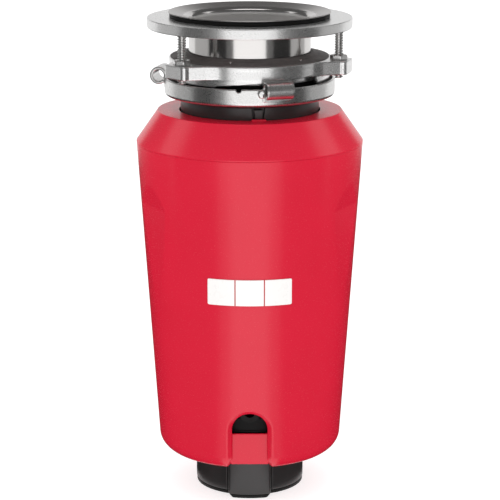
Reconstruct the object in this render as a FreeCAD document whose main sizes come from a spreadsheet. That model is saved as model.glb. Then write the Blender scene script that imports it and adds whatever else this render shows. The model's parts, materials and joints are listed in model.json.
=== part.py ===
import FreeCAD, Part
import os
import re
import Sketcher

# Kitchen garbage disposal: continuous-feed, three-bolt sink mount, permanent-magnet motor.
# Millimetres, +Z up, the foot stands on z = 0 and the grinder axis is the Z axis.
# The front is -Y. An angle called "turn" is counted from the front towards +X.

DIMENSIONS = {
    # red housing
    "floor_level": 27.0,
    "edge_level": 254.0,
    "top_face_level": 276.0,
    "floor_radius": 65.13,
    "edge_radius": 80.4,
    "top_face_radius": 65.0,
    "neck_opening": 49.8,
    "wall": 2.5,
    "floor_thickness": 3.0,
    "floor_rounding": 11.0,
    "seam_drop": 1.0,
    "lip_height": 4.0,
    "cap_opening": 40.2,
    # side recesses of the housing
    "recess_turn": 62.5,
    "recess_top": 226.0,
    "recess_floor_top": 212.0,
    "recess_foot": 152.0,
    "recess_depth_radius": 75.4,
    "recess_foot_radius": 73.5,
    "pad_radius": 72.5,
    # front slot of the housing
    "slot_half_width": 12.5,
    "slot_centre_level": 57.4,
    "slot_panel_foot": 31.0,
    "slot_panel_level": 53.7,
    "slot_panel_front": 60.0,
    "slot_wall": 2.0,
    "slot_lip": 3.5,
    # badge
    "badge_level": 151.0,
    "badge_height": 18.7,
    "badge_width": 58.0,
    "badge_thickness": 0.9,
    # foot and base cap
    "cap_radius": 39.1,
    "cap_wall": 2.8,
    "foot_height": 2.6,
    "foot_inset": 1.2,
    "boss_radius": 46.3,
    "boss_half_width": 15.2,
    "boss_top": 26.7,
    "base_screw_circle": 30.0,
    "base_screw_radius": 2.0,
    "button_circle": 37.8,
    "button_radius": 4.1,
    # motor
    "bell_level": 24.0,
    "bell_radius": 57.0,
    "bell_bore_radius": 54.3,
    "bell_rim_level": 64.0,
    "cord_bite_level": 68.8,
    "cord_bite_radius": 7.6,
    "can_radius": 50.0,
    "can_wall": 3.0,
    "can_height": 78.0,
    "shaft_radius": 6.35,
    "shaft_play": 0.05,
    "bearing_radius": 11.0,
    "armature_radius": 35.9,
    "armature_height": 50.0,
    "armature_level": 78.0,
    "magnet_inner_radius": 36.7,
    "magnet_height": 58.0,
    "commutator_radius": 14.0,
    "commutator_level": 46.1,
    "brush_side": 6.0,
    "brush_level": 57.2,
    "bolt_circle": 52.2,
    "bolt_radius": 1.9,
    # drain chamber and outlet
    "drain_level": 134.0,
    "drain_flange_level": 184.0,
    "outlet_level": 159.8,
    "outlet_bore": 14.5,
    "outlet_wall": 2.7,
    "outlet_face": 80.0,
    "pipe_radius": 19.0,
    "pipe_wall": 1.8,
    "pipe_bend": 26.0,
    "pipe_drop": 22.0,
    "outlet_screw_spread": 27.0,
    # grinding chamber
    "hopper_level": 185.0,
    "hopper_bore": 63.6,
    "hopper_radius": 66.2,
    "chamber_flange_radius": 70.5,
    "neck_radius": 45.2,
    "neck_bore": 42.6,
    "shredder_bore": 62.3,
    "shredder_radius": 65.9,
    "shredder_height": 27.0,
    "turntable_level": 198.0,
    "turntable_radius": 61.4,
    "turntable_thickness": 2.4,
    "impeller_circle": 44.0,
    "impeller_pin": 3.0,
    "inlet_turn": 180.0,
    "inlet_level": 236.0,
    "inlet_radius": 9.5,
    "inlet_bore": 7.4,
    # sink mount
    "flange_top": 345.2,
    "flange_radius": 57.0,
    "flange_dish": 3.4,
    "flange_lip": 0.75,
    "sleeve_radius": 43.0,
    "sleeve_wall": 1.4,
    "sleeve_foot": 304.0,
    "gasket_level": 341.2,
    "gasket_radius": 56.3,
    "support_level": 334.3,
    "support_radius": 72.1,
    "support_thickness": 6.9,
    "ring_level": 299.0,
    "ring_radius": 56.4,
    "ring_wall": 3.0,
    "ring_height": 14.6,
    "ear_circle": 64.3,
    "ear_turn": 74.1,
    "ear_half_width": 10.3,
    "ear_end": 72.2,
    "ear_root": 68.0,
    "ear_height": 9.4,
    "ramp_start": 0.7,
    "ramp_rise": 5.8,
    "ramp_sweep": 78.0,
    "ramp_offset": 21.1,
    "rod_radius": 3.2,
    "rod_foot": 300.6,
    "nut_flats": 11.1,
    "nut_height": 3.4,
    "dish_level": 286.6,
    "dish_radius": 60.1,
    "dish_bore": 49.4,
    "dish_height": 12.3,
    "tube_circle": 64.2,
    "tube_radius": 6.2,
    "tube_wall": 2.2,
    "tube_length": 19.0,
    "tube_level": 298.7,
    "tube_turn": 17.8,
    "collar_level": 270.0,
    "collar_radius": 48.9,
    "collar_height": 16.2,
    "baffle_level": 283.4,
    "baffle_radius": 41.2,
}

doc = FreeCAD.newDocument("GarbageDisposal")
sheet = doc.addObject("Spreadsheet::Sheet", "dims")
for line, (alias, amount) in enumerate(DIMENSIONS.items(), start=1):
    sheet.set(f"A{line}", alias)
    sheet.set(f"B{line}", str(amount))
    sheet.setAlias(f"B{line}", alias)
doc.recompute()

SUB_PARTS = []
CROSS_AXIS = FreeCAD.Vector(1, 0, 0)
UP = FreeCAD.Vector(0, 0, 1)
OUTWARD = FreeCAD.Rotation(CROSS_AXIS, 90)
INWARD = FreeCAD.Rotation(CROSS_AXIS, -90)


# ---------------------------------------------------------------- building helpers


def bound(expression):
    """The same expression with each dimension's name pointing at its cell."""

    def cell(word):
        return "dims." + word.group() if word.group() in DIMENSIONS else word.group()

    return re.sub(r"[a-z_]+", cell, str(expression))


def value(expression):
    return float(sheet.evalExpression(bound(expression)))


def bind(thing, prop, expression):
    thing.setExpression(prop, bound(expression))


def place(thing, x="0", y="0", z="0", turn="0", rotation=None):
    """Puts a thing that was laid out at the front at its height and its turn round the axis."""
    quarter = FreeCAD.Rotation(UP, value(turn))
    local = rotation if rotation else FreeCAD.Rotation()
    thing.Placement = FreeCAD.Placement(FreeCAD.Vector(), quarter.multiply(local))
    bind(thing, "Placement.Base.x", f"({x}) * cos(({turn}) * 1 deg) - ({y}) * sin(({turn}) * 1 deg)")
    bind(thing, "Placement.Base.y", f"({x}) * sin(({turn}) * 1 deg) + ({y}) * cos(({turn}) * 1 deg)")
    bind(thing, "Placement.Base.z", z)
    return thing


def keep(thing, label):
    """Marks a finished sub-part, whose label names its file."""
    thing.Label = label
    SUB_PARTS.append(thing)
    return thing


def cylinder(radius, height, x="0", y="0", z="0", turn="0", rotation=None, angle=None):
    thing = doc.addObject("Part::Cylinder", "Cylinder")
    bind(thing, "Radius", radius)
    bind(thing, "Height", height)
    if angle:
        bind(thing, "Angle", angle)
    return place(thing, x, y, z, turn, rotation)


def box(width, depth, height, front, z="0", turn="0", x="0"):
    """A block centred on x whose front face is at y = -front."""
    thing = doc.addObject("Part::Box", "Box")
    bind(thing, "Length", width)
    bind(thing, "Width", depth)
    bind(thing, "Height", height)
    return place(thing, f"({x}) - ({width}) / 2", f"-({front})", z, turn)


def prism(sides, flats, height, x="0", y="0", z="0", turn="0"):
    thing = doc.addObject("Part::Prism", "Prism")
    thing.Polygon = sides
    bind(thing, "Circumradius", f"({flats}) / 2 / cos(180 deg / {sides})")
    bind(thing, "Height", height)
    return place(thing, x, y, z, turn)


def radial_rod(radius, length, start, level, turn):
    """A rod that points outwards from the axis at a height and a turn."""
    return cylinder(radius, length, y=f"-({start})", z=level, turn=turn, rotation=OUTWARD)


def torus(middle, wire, z="0", arc="360", x="0", y="0", rotation=None, turn="0"):
    thing = doc.addObject("Part::Torus", "Torus")
    bind(thing, "Radius1", middle)
    bind(thing, "Radius2", wire)
    bind(thing, "Angle3", arc)
    return place(thing, x, y, z, turn, rotation)


def fuse(*pieces):
    thing = doc.addObject("Part::MultiFuse", "Fusion")
    thing.Shapes = list(pieces)
    return thing


def cut(base, *tools):
    thing = doc.addObject("Part::Cut", "Cut")
    thing.Base = base
    thing.Tool = tools[0] if len(tools) == 1 else fuse(*tools)
    return thing


def common(first, second):
    thing = doc.addObject("Part::Common", "Common")
    thing.Base = first
    thing.Tool = second
    return thing


def group(*solids):
    thing = doc.addObject("Part::Compound", "Group")
    thing.Links = list(solids)
    return thing


def origin_plane(body, role):
    return next(plane for plane in body.Origin.OriginFeatures if plane.Role == role)


def flat_sketch(body, role, name, offset=None):
    sketch = body.newObject("Sketcher::SketchObject", name)
    sketch.AttachmentSupport = (origin_plane(body, role), [""])
    sketch.MapMode = "FlatFace"
    if offset:
        sketch.AttachmentOffset = offset
    return sketch


def close_outline(sketch, corners):
    """A closed outline of straight runs, with each corner's place bound to the dimensions."""
    spots = [FreeCAD.Vector(value(x), value(y), 0) for x, y in corners]
    count = len(spots)
    runs = [Part.LineSegment(spots[i], spots[(i + 1) % count]) for i in range(count)]
    sketch.addGeometry(runs, False)
    for i in range(count):
        sketch.addConstraint(Sketcher.Constraint("Coincident", i, 2, (i + 1) % count, 1))
    for i, (corner, spot) in enumerate(zip(corners, spots)):
        for kind, amount, expression, axis in (
            ("DistanceX", spot.x, corner[0], -2),
            ("DistanceY", spot.y, corner[1], -1),
        ):
            if abs(amount) < 1e-9:
                sketch.addConstraint(Sketcher.Constraint("PointOnObject", i, 1, axis))
            else:
                number = sketch.addConstraint(Sketcher.Constraint(kind, -1, 1, i, 1, amount))
                bind(sketch, f"Constraints[{number}]", expression)


def lathe(name, level, corners, turn="0"):
    """A body turned from its section, drawn as radius and height over its level."""
    body = doc.addObject("PartDesign::Body", name)
    sketch = flat_sketch(body, "XZ_Plane", name + "_section")
    close_outline(sketch, corners)
    revolution = body.newObject("PartDesign::Revolution", name + "_turned")
    revolution.Profile = sketch
    revolution.ReferenceAxis = (sketch, ["V_Axis"])
    revolution.Angle = 360
    doc.recompute()
    return place(body, z=level, turn=turn)


def circle_edges(shape, radius, height):
    """The names of a turned shape's round edges at one radius and height."""
    found = []
    for number, edge in enumerate(shape.Edges, start=1):
        curve = edge.Curve
        if not isinstance(curve, Part.Circle):
            continue
        if abs(curve.Radius - radius) < 0.01 and abs(curve.Center.z - height) < 0.01:
            found.append(f"Edge{number}")
    return found


def round_off(body, radius, height, rounding):
    """Rounds one circular edge of a turned body."""
    edges = circle_edges(body.Tip.Shape, value(radius), value(height))
    base = body.Tip
    fillet = body.newObject("PartDesign::Fillet", body.Name + "_rounding")
    fillet.Base = (base, edges)
    bind(fillet, "Radius", rounding)
    body.Tip = fillet
    doc.recompute()
    return body


def repeat(body, feature, sketch, axis, count):
    pattern = body.newObject("PartDesign::PolarPattern", feature.Name + "_pattern")
    pattern.Originals = [feature]
    pattern.Axis = (sketch, [axis])
    pattern.Angle = 360
    pattern.Occurrences = count
    body.Tip = pattern
    doc.recompute()
    return pattern


def arch(half_width, depth, front, foot):
    """An upright arch-shaped prism whose round top is at the front slot's centre."""
    post = box(f"2 * ({half_width})", depth, f"slot_centre_level - ({foot})", front, z=foot)
    crown = cylinder(
        half_width, depth, y=f"-({front}) + ({depth})", z="slot_centre_level", rotation=OUTWARD
    )
    return fuse(post, crown)


TAPER = "(edge_radius - floor_radius) / (edge_level - floor_level)"
SEAM_RADIUS = f"edge_radius - seam_drop * {TAPER}"


def housing_radius(height):
    """Outer radius of the red jacket at a height."""
    return f"floor_radius + (({height}) - floor_level) * {TAPER}"


# ---------------------------------------------------------------- red housing


def outer_housing():
    height = "edge_level - seam_drop - floor_level"
    jacket = lathe(
        "jacket",
        "floor_level",
        [
            ("cap_opening", "0"),
            ("floor_radius", "0"),
            (SEAM_RADIUS, height),
            (f"{SEAM_RADIUS} - wall", height),
            (f"floor_radius - wall + 8.5 * {TAPER}", "8.5"),
            ("floor_radius - floor_rounding", "floor_thickness"),
            ("cap_opening", "floor_thickness"),
        ],
    )
    round_off(jacket, "floor_radius", "0", "floor_rounding")
    solid_cone = lathe(
        "jacket_envelope",
        "floor_level",
        [("0", "0"), ("floor_radius", "0"), (SEAM_RADIUS, height), ("0", height)],
    )
    round_off(solid_cone, "floor_radius", "0", "floor_rounding")
    pads = []
    recesses = []
    for side in (-1, 1):
        pads.append(
            box("40", "12", "66", "pad_radius + 12", z="168", turn=f"{side} * recess_turn")
        )
        recesses.append(recess_cutter(side))
    backing = common(fuse(*pads), solid_cone)
    lips = common(arch("slot_half_width + slot_wall", "14", "72", "floor_level"), solid_cone)
    panel = common(
        box("2 * slot_half_width + 2", "2", "slot_panel_level - slot_panel_foot",
            "slot_panel_front", z="slot_panel_foot"),
        solid_cone,
    )
    solid = fuse(jacket, backing, lips)
    slot = arch("slot_half_width", "20", "75", "floor_level - 1")
    mouth = slot_mouth()
    outlet = cylinder("21", "30", y="60", z="outlet_level", rotation=INWARD)
    inlet = radial_rod("inlet_radius + 3", "30", "60", "inlet_level", "inlet_turn")
    opened = cut(solid, *recesses, slot, mouth, outlet, inlet)
    return keep(fuse(opened, panel), "outer_housing")


def recess_cutter(side):
    """Takes a tall flat recess, with a sloping ceiling, out of one flank of the jacket."""
    body = doc.addObject("PartDesign::Body", "recess")
    sketch = flat_sketch(body, "XZ_Plane", "recess_section")
    close_outline(
        sketch,
        [
            ("recess_foot_radius", "recess_foot"),
            ("recess_depth_radius", "recess_floor_top"),
            ("recess_depth_radius + 6", "recess_top + 14"),
            ("recess_depth_radius + 12", "recess_top + 14"),
            ("recess_depth_radius + 12", "recess_foot"),
        ],
    )
    pad = body.newObject("PartDesign::Pad", "recess_pad")
    pad.Profile = sketch
    pad.Midplane = True
    pad.Length = 44
    doc.recompute()
    return place(body, turn=f"{side} * recess_turn - 90")


def slot_mouth():
    """Widens the slot's rim towards the outside, in two steps of the same arch."""
    outer = arch("slot_half_width + slot_lip", "6", "70.6", "floor_level - 1")
    inner = arch("slot_half_width + slot_lip / 2", "6", "69.2", "floor_level - 1")
    return fuse(outer, inner)


def shoulder_cover():
    level = "edge_level - seam_drop - lip_height"
    seam = "lip_height"
    edge = "lip_height + seam_drop"
    top = f"top_face_level - ({level})"
    lip_outer = f"{SEAM_RADIUS} - wall - 0.45"
    cover = lathe(
        "shoulder",
        level,
        [
            (lip_outer, "0"),
            (lip_outer, seam),
            (SEAM_RADIUS, seam),
            ("edge_radius", edge),
            ("top_face_radius", top),
            ("neck_opening", top),
            ("neck_opening", f"{top} - wall"),
            ("top_face_radius - 1", f"{top} - wall"),
            (f"{lip_outer} - 1.8", f"{edge} - 1"),
            (f"{lip_outer} - 1.8", "0"),
        ],
    )
    return keep(cover, "shoulder_cover")


def badge():
    low = housing_radius("badge_level")
    high = housing_radius("badge_level + badge_height")
    shell = lathe(
        "badge_shell",
        "badge_level",
        [
            (low, "0"),
            (f"{low} + badge_thickness", "0"),
            (f"{high} + badge_thickness", "badge_height"),
            (high, "badge_height"),
        ],
    )
    sector = box("badge_width", "40", "badge_height", "90", z="badge_level")
    return keep(common(shell, sector), "badge")


def insulation_sleeve():
    sleeve = lathe(
        "foam", "192", [("68.9", "0"), ("72.2", "0"), ("72.2", "52"), ("68.9", "52")]
    )
    hole = radial_rod("inlet_radius + 4.5", "40", "50", "inlet_level", "inlet_turn")
    return keep(cut(sleeve, hole), "insulation_sleeve")


# ---------------------------------------------------------------- foot and base cap


def boss_block(outer_radius, half_width, foot, top):
    """The part of an upright drum that stands out at the front."""
    drum = cylinder(outer_radius, f"({top}) - ({foot})", z=foot)
    front = box(f"2 * ({half_width})", "20", f"({top}) - ({foot})", "boss_radius + 5", z=foot)
    return common(drum, front)


def base_screw_turns():
    return ("60", "180", "300")


def foot_pad():
    disc = lathe(
        "foot_disc",
        "0",
        [
            ("0", "0"),
            ("cap_radius - foot_inset - 1.4", "0"),
            ("cap_radius - foot_inset", "1.4"),
            ("cap_radius - foot_inset", "foot_height"),
            ("0", "foot_height"),
        ],
    )
    boss = boss_block("boss_radius - foot_inset", "boss_half_width - foot_inset", "0", "foot_height")
    holes = [
        cylinder("4.2", "foot_height", y="-base_screw_circle", turn=turn)
        for turn in base_screw_turns()
    ]
    button = cylinder("button_radius + 1.3", "foot_height", y="-button_circle")
    return keep(cut(fuse(disc, boss), *holes, button), "foot_pad")


def base_cap():
    top = "floor_level + 5 - foot_height"
    cup = lathe(
        "cap_cup",
        "foot_height",
        [
            ("0", "0"),
            ("cap_radius - 0.8", "0"),
            ("cap_radius", "0.8"),
            ("cap_radius", f"{top} - 2"),
            ("cap_radius + 4", f"{top} - 2"),
            ("cap_radius + 4", top),
            ("cap_radius - cap_wall", top),
            ("cap_radius - cap_wall", "3"),
            ("0", "3"),
        ],
    )
    boss = boss_block("boss_radius", "boss_half_width", "foot_height", "boss_top")
    room = boss_block("boss_radius - 2.6", "boss_half_width - 2.4", "foot_height + 3", "boss_top - 2.4")
    holes = [
        cylinder("base_screw_radius + 0.2", "20", y="-base_screw_circle", turn=turn)
        for turn in base_screw_turns()
    ]
    button = cylinder("button_radius + 0.1", "10", y="-button_circle")
    return keep(cut(fuse(cup, boss), room, *holes, button), "base_cap")


def base_screws():
    screws = []
    for turn in base_screw_turns():
        shank = cylinder("base_screw_radius", "36", y="-base_screw_circle", z="2.6", turn=turn)
        head = cylinder("3.9", "1.7", y="-base_screw_circle", z="0.9", turn=turn)
        recess = box("1.2", "6", "0.8", "base_screw_circle + 3", z="0.9", turn=turn)
        screws.append(cut(fuse(shank, head), recess))
    return keep(group(*screws), "base_screws")


def overload_protector():
    case = box("22", "7.6", "11.4", "41.6", z="12.6")
    contact_blades = [
        box("1", "4", "6", "34", z="15.6", x=offset) for offset in ("-6", "6")
    ]
    socket = cylinder("3.2", "3", y="-button_circle", z="12.6")
    return keep(cut(fuse(case, *contact_blades), socket), "overload_protector")


def reset_button():
    stem = cylinder("button_radius", "6", y="-button_circle", z="0.9")
    collar = cylinder("button_radius + 1.1", "1.2", y="-button_circle", z="6.2")
    return keep(fuse(stem, collar), "reset_button")


def coil(radius, wire, pitch, height, y, z, rotation=None, turn="0"):
    """A coil spring: round wire swept along its helix."""
    helix = doc.addObject("Part::Helix", "Helix")
    bind(helix, "Radius", radius)
    bind(helix, "Pitch", pitch)
    bind(helix, "Height", height)
    ring = doc.addObject("Part::Circle", "WireSection")
    bind(ring, "Radius", wire)
    ring.Placement = FreeCAD.Placement(
        FreeCAD.Vector(value(radius), 0, 0), FreeCAD.Rotation(CROSS_AXIS, 90)
    )
    sweep = doc.addObject("Part::Sweep", "Coil")
    sweep.Sections = [ring]
    sweep.Spine = (helix, ["Edge1"])
    sweep.Solid = True
    sweep.Frenet = True
    return place(sweep, y=y, z=z, rotation=rotation, turn=turn)


def reset_spring():
    return keep(coil("2.4", "0.4", "1.44", "7.2", y="-button_circle", z="7.9"), "reset_spring")


# ---------------------------------------------------------------- motor


def through_bolt_turns():
    return [str(45 + 90 * quarter) for quarter in range(4)]


def lower_end_bell():
    bell = lathe(
        "bell",
        "bell_level",
        [
            ("bearing_radius", "0"),
            ("16", "0"),
            ("16", "11"),
            ("bell_radius - 2", "11"),
            ("bell_radius", "13"),
            ("bell_radius", "30"),
            ("bell_radius + 0.6", "30.4"),
            ("bell_radius + 0.6", "31.2"),
            ("bell_radius", "31.6"),
            ("bell_radius", "bell_rim_level - bell_level"),
            ("bell_bore_radius", "bell_rim_level - bell_level"),
            ("bell_bore_radius", "15"),
            ("16", "15"),
            ("16", "20"),
            ("bearing_radius", "20"),
        ],
    )
    bite = cylinder("cord_bite_radius", "12", y="-50", z="cord_bite_level", rotation=OUTWARD)
    bolts = []
    for turn in through_bolt_turns():
        bolts.append(cylinder("bolt_radius", "8", y="-bolt_circle", z="33", turn=turn))
        bolts.append(cylinder("3.6", "3", y="-bolt_circle", z="34.5", turn=turn))
    screws = [
        cylinder("base_screw_radius", "6", y="-base_screw_circle", z="34", turn=turn)
        for turn in base_screw_turns()
    ]
    return keep(cut(bell, bite, *bolts, *screws), "lower_end_bell")


def cord_bush():
    outer = cylinder("cord_bite_radius", "6", y="-51.4", z="cord_bite_level", rotation=OUTWARD)
    bore = cylinder("4", "20", y="-45", z="cord_bite_level", rotation=OUTWARD)
    groove = cut(
        cylinder("cord_bite_radius + 1", "1.4", y="-53", z="cord_bite_level", rotation=OUTWARD),
        cylinder("cord_bite_radius - 1.2", "1.4", y="-53", z="cord_bite_level", rotation=OUTWARD),
    )
    return keep(cut(outer, bore, groove), "cord_bush")


def motor_can():
    can = lathe(
        "can",
        "bell_rim_level",
        [
            ("can_radius - can_wall", "0"),
            ("can_radius", "0"),
            ("can_radius", "can_height"),
            ("can_radius - can_wall", "can_height"),
        ],
    )
    return keep(can, "motor_can")


def field_magnets():
    arcs = []
    for turn in ("25", "205"):
        outer = cylinder("can_radius - can_wall", "magnet_height", z="74", turn=turn, angle="130")
        inner = cylinder("magnet_inner_radius", "magnet_height", z="74")
        arcs.append(cut(outer, inner))
    return keep(group(*arcs), "field_magnets")


def armature_core():
    core = lathe(
        "core",
        "armature_level",
        [
            ("shaft_radius", "0"),
            ("armature_radius", "0"),
            ("armature_radius", "armature_height"),
            ("shaft_radius", "armature_height"),
        ],
    )
    sketch = flat_sketch(core, "XY_Plane", "armature_slot")
    close_outline(
        sketch,
        [
            ("22", "-2.6"),
            ("32", "-2.6"),
            ("32", "-1.2"),
            ("armature_radius + 1", "-1.2"),
            ("armature_radius + 1", "1.2"),
            ("32", "1.2"),
            ("32", "2.6"),
            ("22", "2.6"),
        ],
    )
    slot = core.newObject("PartDesign::Pocket", "armature_slot_cut")
    slot.Profile = sketch
    slot.Type = 1
    slot.Midplane = True
    doc.recompute()
    repeat(core, slot, sketch, "N_Axis", 12)
    return keep(core, "armature_core")


def armature_winding():
    lower = lathe(
        "lower_end_turns",
        "armature_level - 11.5",
        [("8", "3"), ("12", "0"), ("28", "0"), ("33", "5"), ("33", "11.5"), ("8", "11.5")],
    )
    upper = lathe(
        "upper_end_turns",
        "armature_level + armature_height",
        [("8", "0"), ("33", "0"), ("33", "5"), ("28", "10"), ("12", "10"), ("8", "7")],
    )
    bars = [
        box("4.8", "9.4", "armature_height", "31.8", z="armature_level", turn=str(90 + 30 * slot))
        for slot in range(12)
    ]
    return keep(fuse(lower, upper, *bars), "armature_winding")


def commutator():
    drum = lathe(
        "commutator_drum",
        "commutator_level",
        [
            ("shaft_radius", "0"),
            ("commutator_radius", "0"),
            ("commutator_radius", "17"),
            ("commutator_radius + 2", "17"),
            ("commutator_radius + 2", "19"),
            ("shaft_radius", "19"),
        ],
    )
    gaps = [
        box("0.8", "4", "20", "commutator_radius + 2.5", z="commutator_level", turn=str(15 + 30 * bar))
        for bar in range(12)
    ]
    return keep(cut(drum, *gaps), "commutator")


def motor_shaft():
    shaft = lathe(
        "shaft",
        "22",
        [
            ("0", "0"),
            ("shaft_radius - 1", "0"),
            ("shaft_radius", "1"),
            ("shaft_radius", "184"),
            ("shaft_radius - 1", "185"),
            ("0", "185"),
        ],
    )
    return keep(shaft, "motor_shaft")


def sleeve_bearing(label, level, height):
    bush = lathe(
        label,
        level,
        [
            ("shaft_radius + shaft_play", "0"),
            ("bearing_radius", "0"),
            ("bearing_radius", height),
            ("shaft_radius + shaft_play", height),
        ],
    )
    return keep(bush, label)


def brush_card():
    plate = cylinder("bell_bore_radius - 0.2", "2.5", z="bell_rim_level - 2.5")
    tubes = []
    hollows = []
    for turn in ("90", "270"):
        tubes.append(box("brush_side + 2.6", "21", "8.5", "36.5", z="53", turn=turn))
        hollows.append(
            box("brush_side + 0.4", "23", "brush_side + 0.4", "34.9", z="brush_level - brush_side / 2 - 0.2",
                turn=turn)
        )
    opening = cylinder("commutator_radius + 4", "4", z="bell_rim_level - 3")
    bolts = [
        cylinder("bolt_radius + 0.3", "4", y="-bolt_circle", z="bell_rim_level - 3", turn=turn)
        for turn in through_bolt_turns()
    ]
    bite = cylinder("cord_bite_radius + 0.3", "12", y="-48", z="cord_bite_level", rotation=OUTWARD)
    return keep(cut(fuse(plate, *tubes), opening, bite, *hollows, *bolts), "brush_card")


def brushes():
    for label, turn in (("brush_right", "90"), ("brush_left", "270")):
        block = box(
            "brush_side", "13", "brush_side", "commutator_radius + 13.3",
            z="brush_level - brush_side / 2", turn=turn,
        )
        keep(block, label)


def brush_springs():
    springs = [
        coil("2.2", "0.3", "1.3", "6.4", y="-28.0", z="brush_level", rotation=OUTWARD, turn=turn)
        for turn in ("90", "270")
    ]
    return keep(group(*springs), "brush_springs")


def rectifier_board():
    board = box("30", "18", "1.6", "-23", z="50")
    bridge = box("14", "14", "6", "-25", z="51.6")
    capacitor = cylinder("4", "9", x="-10.4", y="32", z="51.6")
    posts = [cylinder("2", "11", x=offset, y="36", z="39") for offset in ("-10", "10")]
    return keep(fuse(board, bridge, capacitor, *posts), "rectifier_board")


def through_bolts():
    bolts = []
    for turn in through_bolt_turns():
        shank = cylinder("bolt_radius", "104", y="-bolt_circle", z="36.5", turn=turn)
        head = prism(6, "6", "2", y="-bolt_circle", z="35", turn=turn)
        bolts.append(fuse(shank, head))
    return keep(group(*bolts), "through_bolts")


# ---------------------------------------------------------------- drain chamber and outlet


def drain_chamber():
    top = "drain_flange_level - drain_level"
    casting = lathe(
        "drain_casting",
        "drain_level",
        [
            ("bearing_radius", "6"),
            ("17", "6"),
            ("17", "8"),
            ("can_radius + 0.2", "8"),
            ("can_radius + 0.2", "0"),
            ("can_radius + 6", "0"),
            ("can_radius + 6", "8"),
            ("66.5", "8"),
            ("68.5", "10"),
            ("68.5", f"{top} - 5.5"),
            ("chamber_flange_radius", f"{top} - 3.5"),
            ("chamber_flange_radius", top),
            ("64", top),
            ("64", "13.5"),
            ("15", "12"),
            ("15", top),
            ("bearing_radius", top),
        ],
    )
    port = cylinder(
        "outlet_bore + outlet_wall", "outlet_face - 62", y="62", z="outlet_level", rotation=INWARD
    )
    face = cylinder("pipe_radius + 1.5", "5", y="outlet_face - 5", z="outlet_level", rotation=INWARD)
    plate = box(
        "2 * outlet_screw_spread + 12", "5", "14", "-(outlet_face - 5)", z="outlet_level - 7"
    )
    bore = cylinder("outlet_bore", "30", y="outlet_face - 28", z="outlet_level", rotation=INWARD)
    screw_holes = [
        cylinder("2.5", "10", x=offset, y="outlet_face - 8", z="outlet_level", rotation=INWARD)
        for offset in ("-outlet_screw_spread", "outlet_screw_spread")
    ]
    bolt_holes = [
        cylinder("bolt_radius", "9", y="-bolt_circle", z="132", turn=turn)
        for turn in through_bolt_turns()
    ]
    return keep(cut(fuse(casting, port, face, plate), bore, *screw_holes, *bolt_holes), "drain_chamber")


def chamber_seal():
    ring = lathe(
        "seal_ring",
        "drain_flange_level",
        [("66", "0"), ("chamber_flange_radius", "0"), ("chamber_flange_radius", "1"), ("66", "1")],
    )
    return keep(ring, "chamber_seal")


def clamp_band():
    band = lathe(
        "band",
        "drain_flange_level - 6.8",
        [
            ("68.9", "0"),
            ("chamber_flange_radius + 1.5", "0"),
            ("chamber_flange_radius + 1.5", "14.6"),
            ("68.9", "14.6"),
            ("68.9", "13.6"),
            ("chamber_flange_radius + 0.2", "11.8"),
            ("chamber_flange_radius + 0.2", "3.1"),
            ("68.9", "1.4"),
        ],
    )
    gap = box("6", "10", "18", "-64", z="drain_flange_level - 8", turn="35")
    return keep(cut(band, gap), "clamp_band")


def discharge_gasket():
    outer = cylinder("pipe_radius + 1", "2", y="outlet_face", z="outlet_level", rotation=INWARD)
    inner = cylinder("outlet_bore", "2", y="outlet_face", z="outlet_level", rotation=INWARD)
    return keep(cut(outer, inner), "discharge_gasket")


def pipe_run(radius):
    """The elbow's path at one radius: a short run back, a quarter bend and a drop."""
    start = "outlet_face + 2.3"
    bend = "outlet_face + 12.3"
    run = cylinder(radius, "10", y=start, z="outlet_level", rotation=INWARD)
    quarter = torus(
        "pipe_bend", radius, x="0", y=bend, z="outlet_level - pipe_bend", arc="90",
        rotation=FreeCAD.Rotation(FreeCAD.Vector(0, 1, 0), -90),
    )
    drop = cylinder(
        radius, "pipe_drop", y=f"{bend} + pipe_bend", z="outlet_level - pipe_bend - pipe_drop"
    )
    return fuse(run, quarter, drop)


def discharge_elbow():
    collar = cylinder("pipe_radius + 2", "1.9", y="outlet_face + 2.3", z="outlet_level", rotation=INWARD)
    walls = fuse(pipe_run("pipe_radius"), collar)
    return keep(cut(walls, pipe_run("pipe_radius - pipe_wall")), "discharge_elbow")


def discharge_flange():
    plate = box(
        "2 * outlet_screw_spread + 12", "2.5", "14", "-(outlet_face + 4.5)", z="outlet_level - 7"
    )
    disc = cylinder("pipe_radius + 5", "2.5", y="outlet_face + 4.5", z="outlet_level", rotation=INWARD)
    hole = cylinder("pipe_radius + 0.3", "4", y="outlet_face + 4", z="outlet_level", rotation=INWARD)
    screws = [
        cylinder("2.7", "4", x=offset, y="outlet_face + 4", z="outlet_level", rotation=INWARD)
        for offset in ("-outlet_screw_spread", "outlet_screw_spread")
    ]
    return keep(cut(fuse(plate, disc), hole, *screws), "discharge_flange")


def discharge_screws():
    screws = []
    for offset in ("-outlet_screw_spread", "outlet_screw_spread"):
        shank = cylinder("2.5", "12", x=offset, y="outlet_face - 5", z="outlet_level", rotation=INWARD)
        head = cylinder("4.6", "3", x=offset, y="outlet_face + 7", z="outlet_level", rotation=INWARD)
        drive = box("1.2", "1.4", "9.2", "-(outlet_face + 8.8)", z="outlet_level - 4.6", x=offset)
        screws.append(cut(fuse(shank, head), drive))
    return keep(group(*screws), "discharge_screws")


# ---------------------------------------------------------------- grinding chamber


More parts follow.
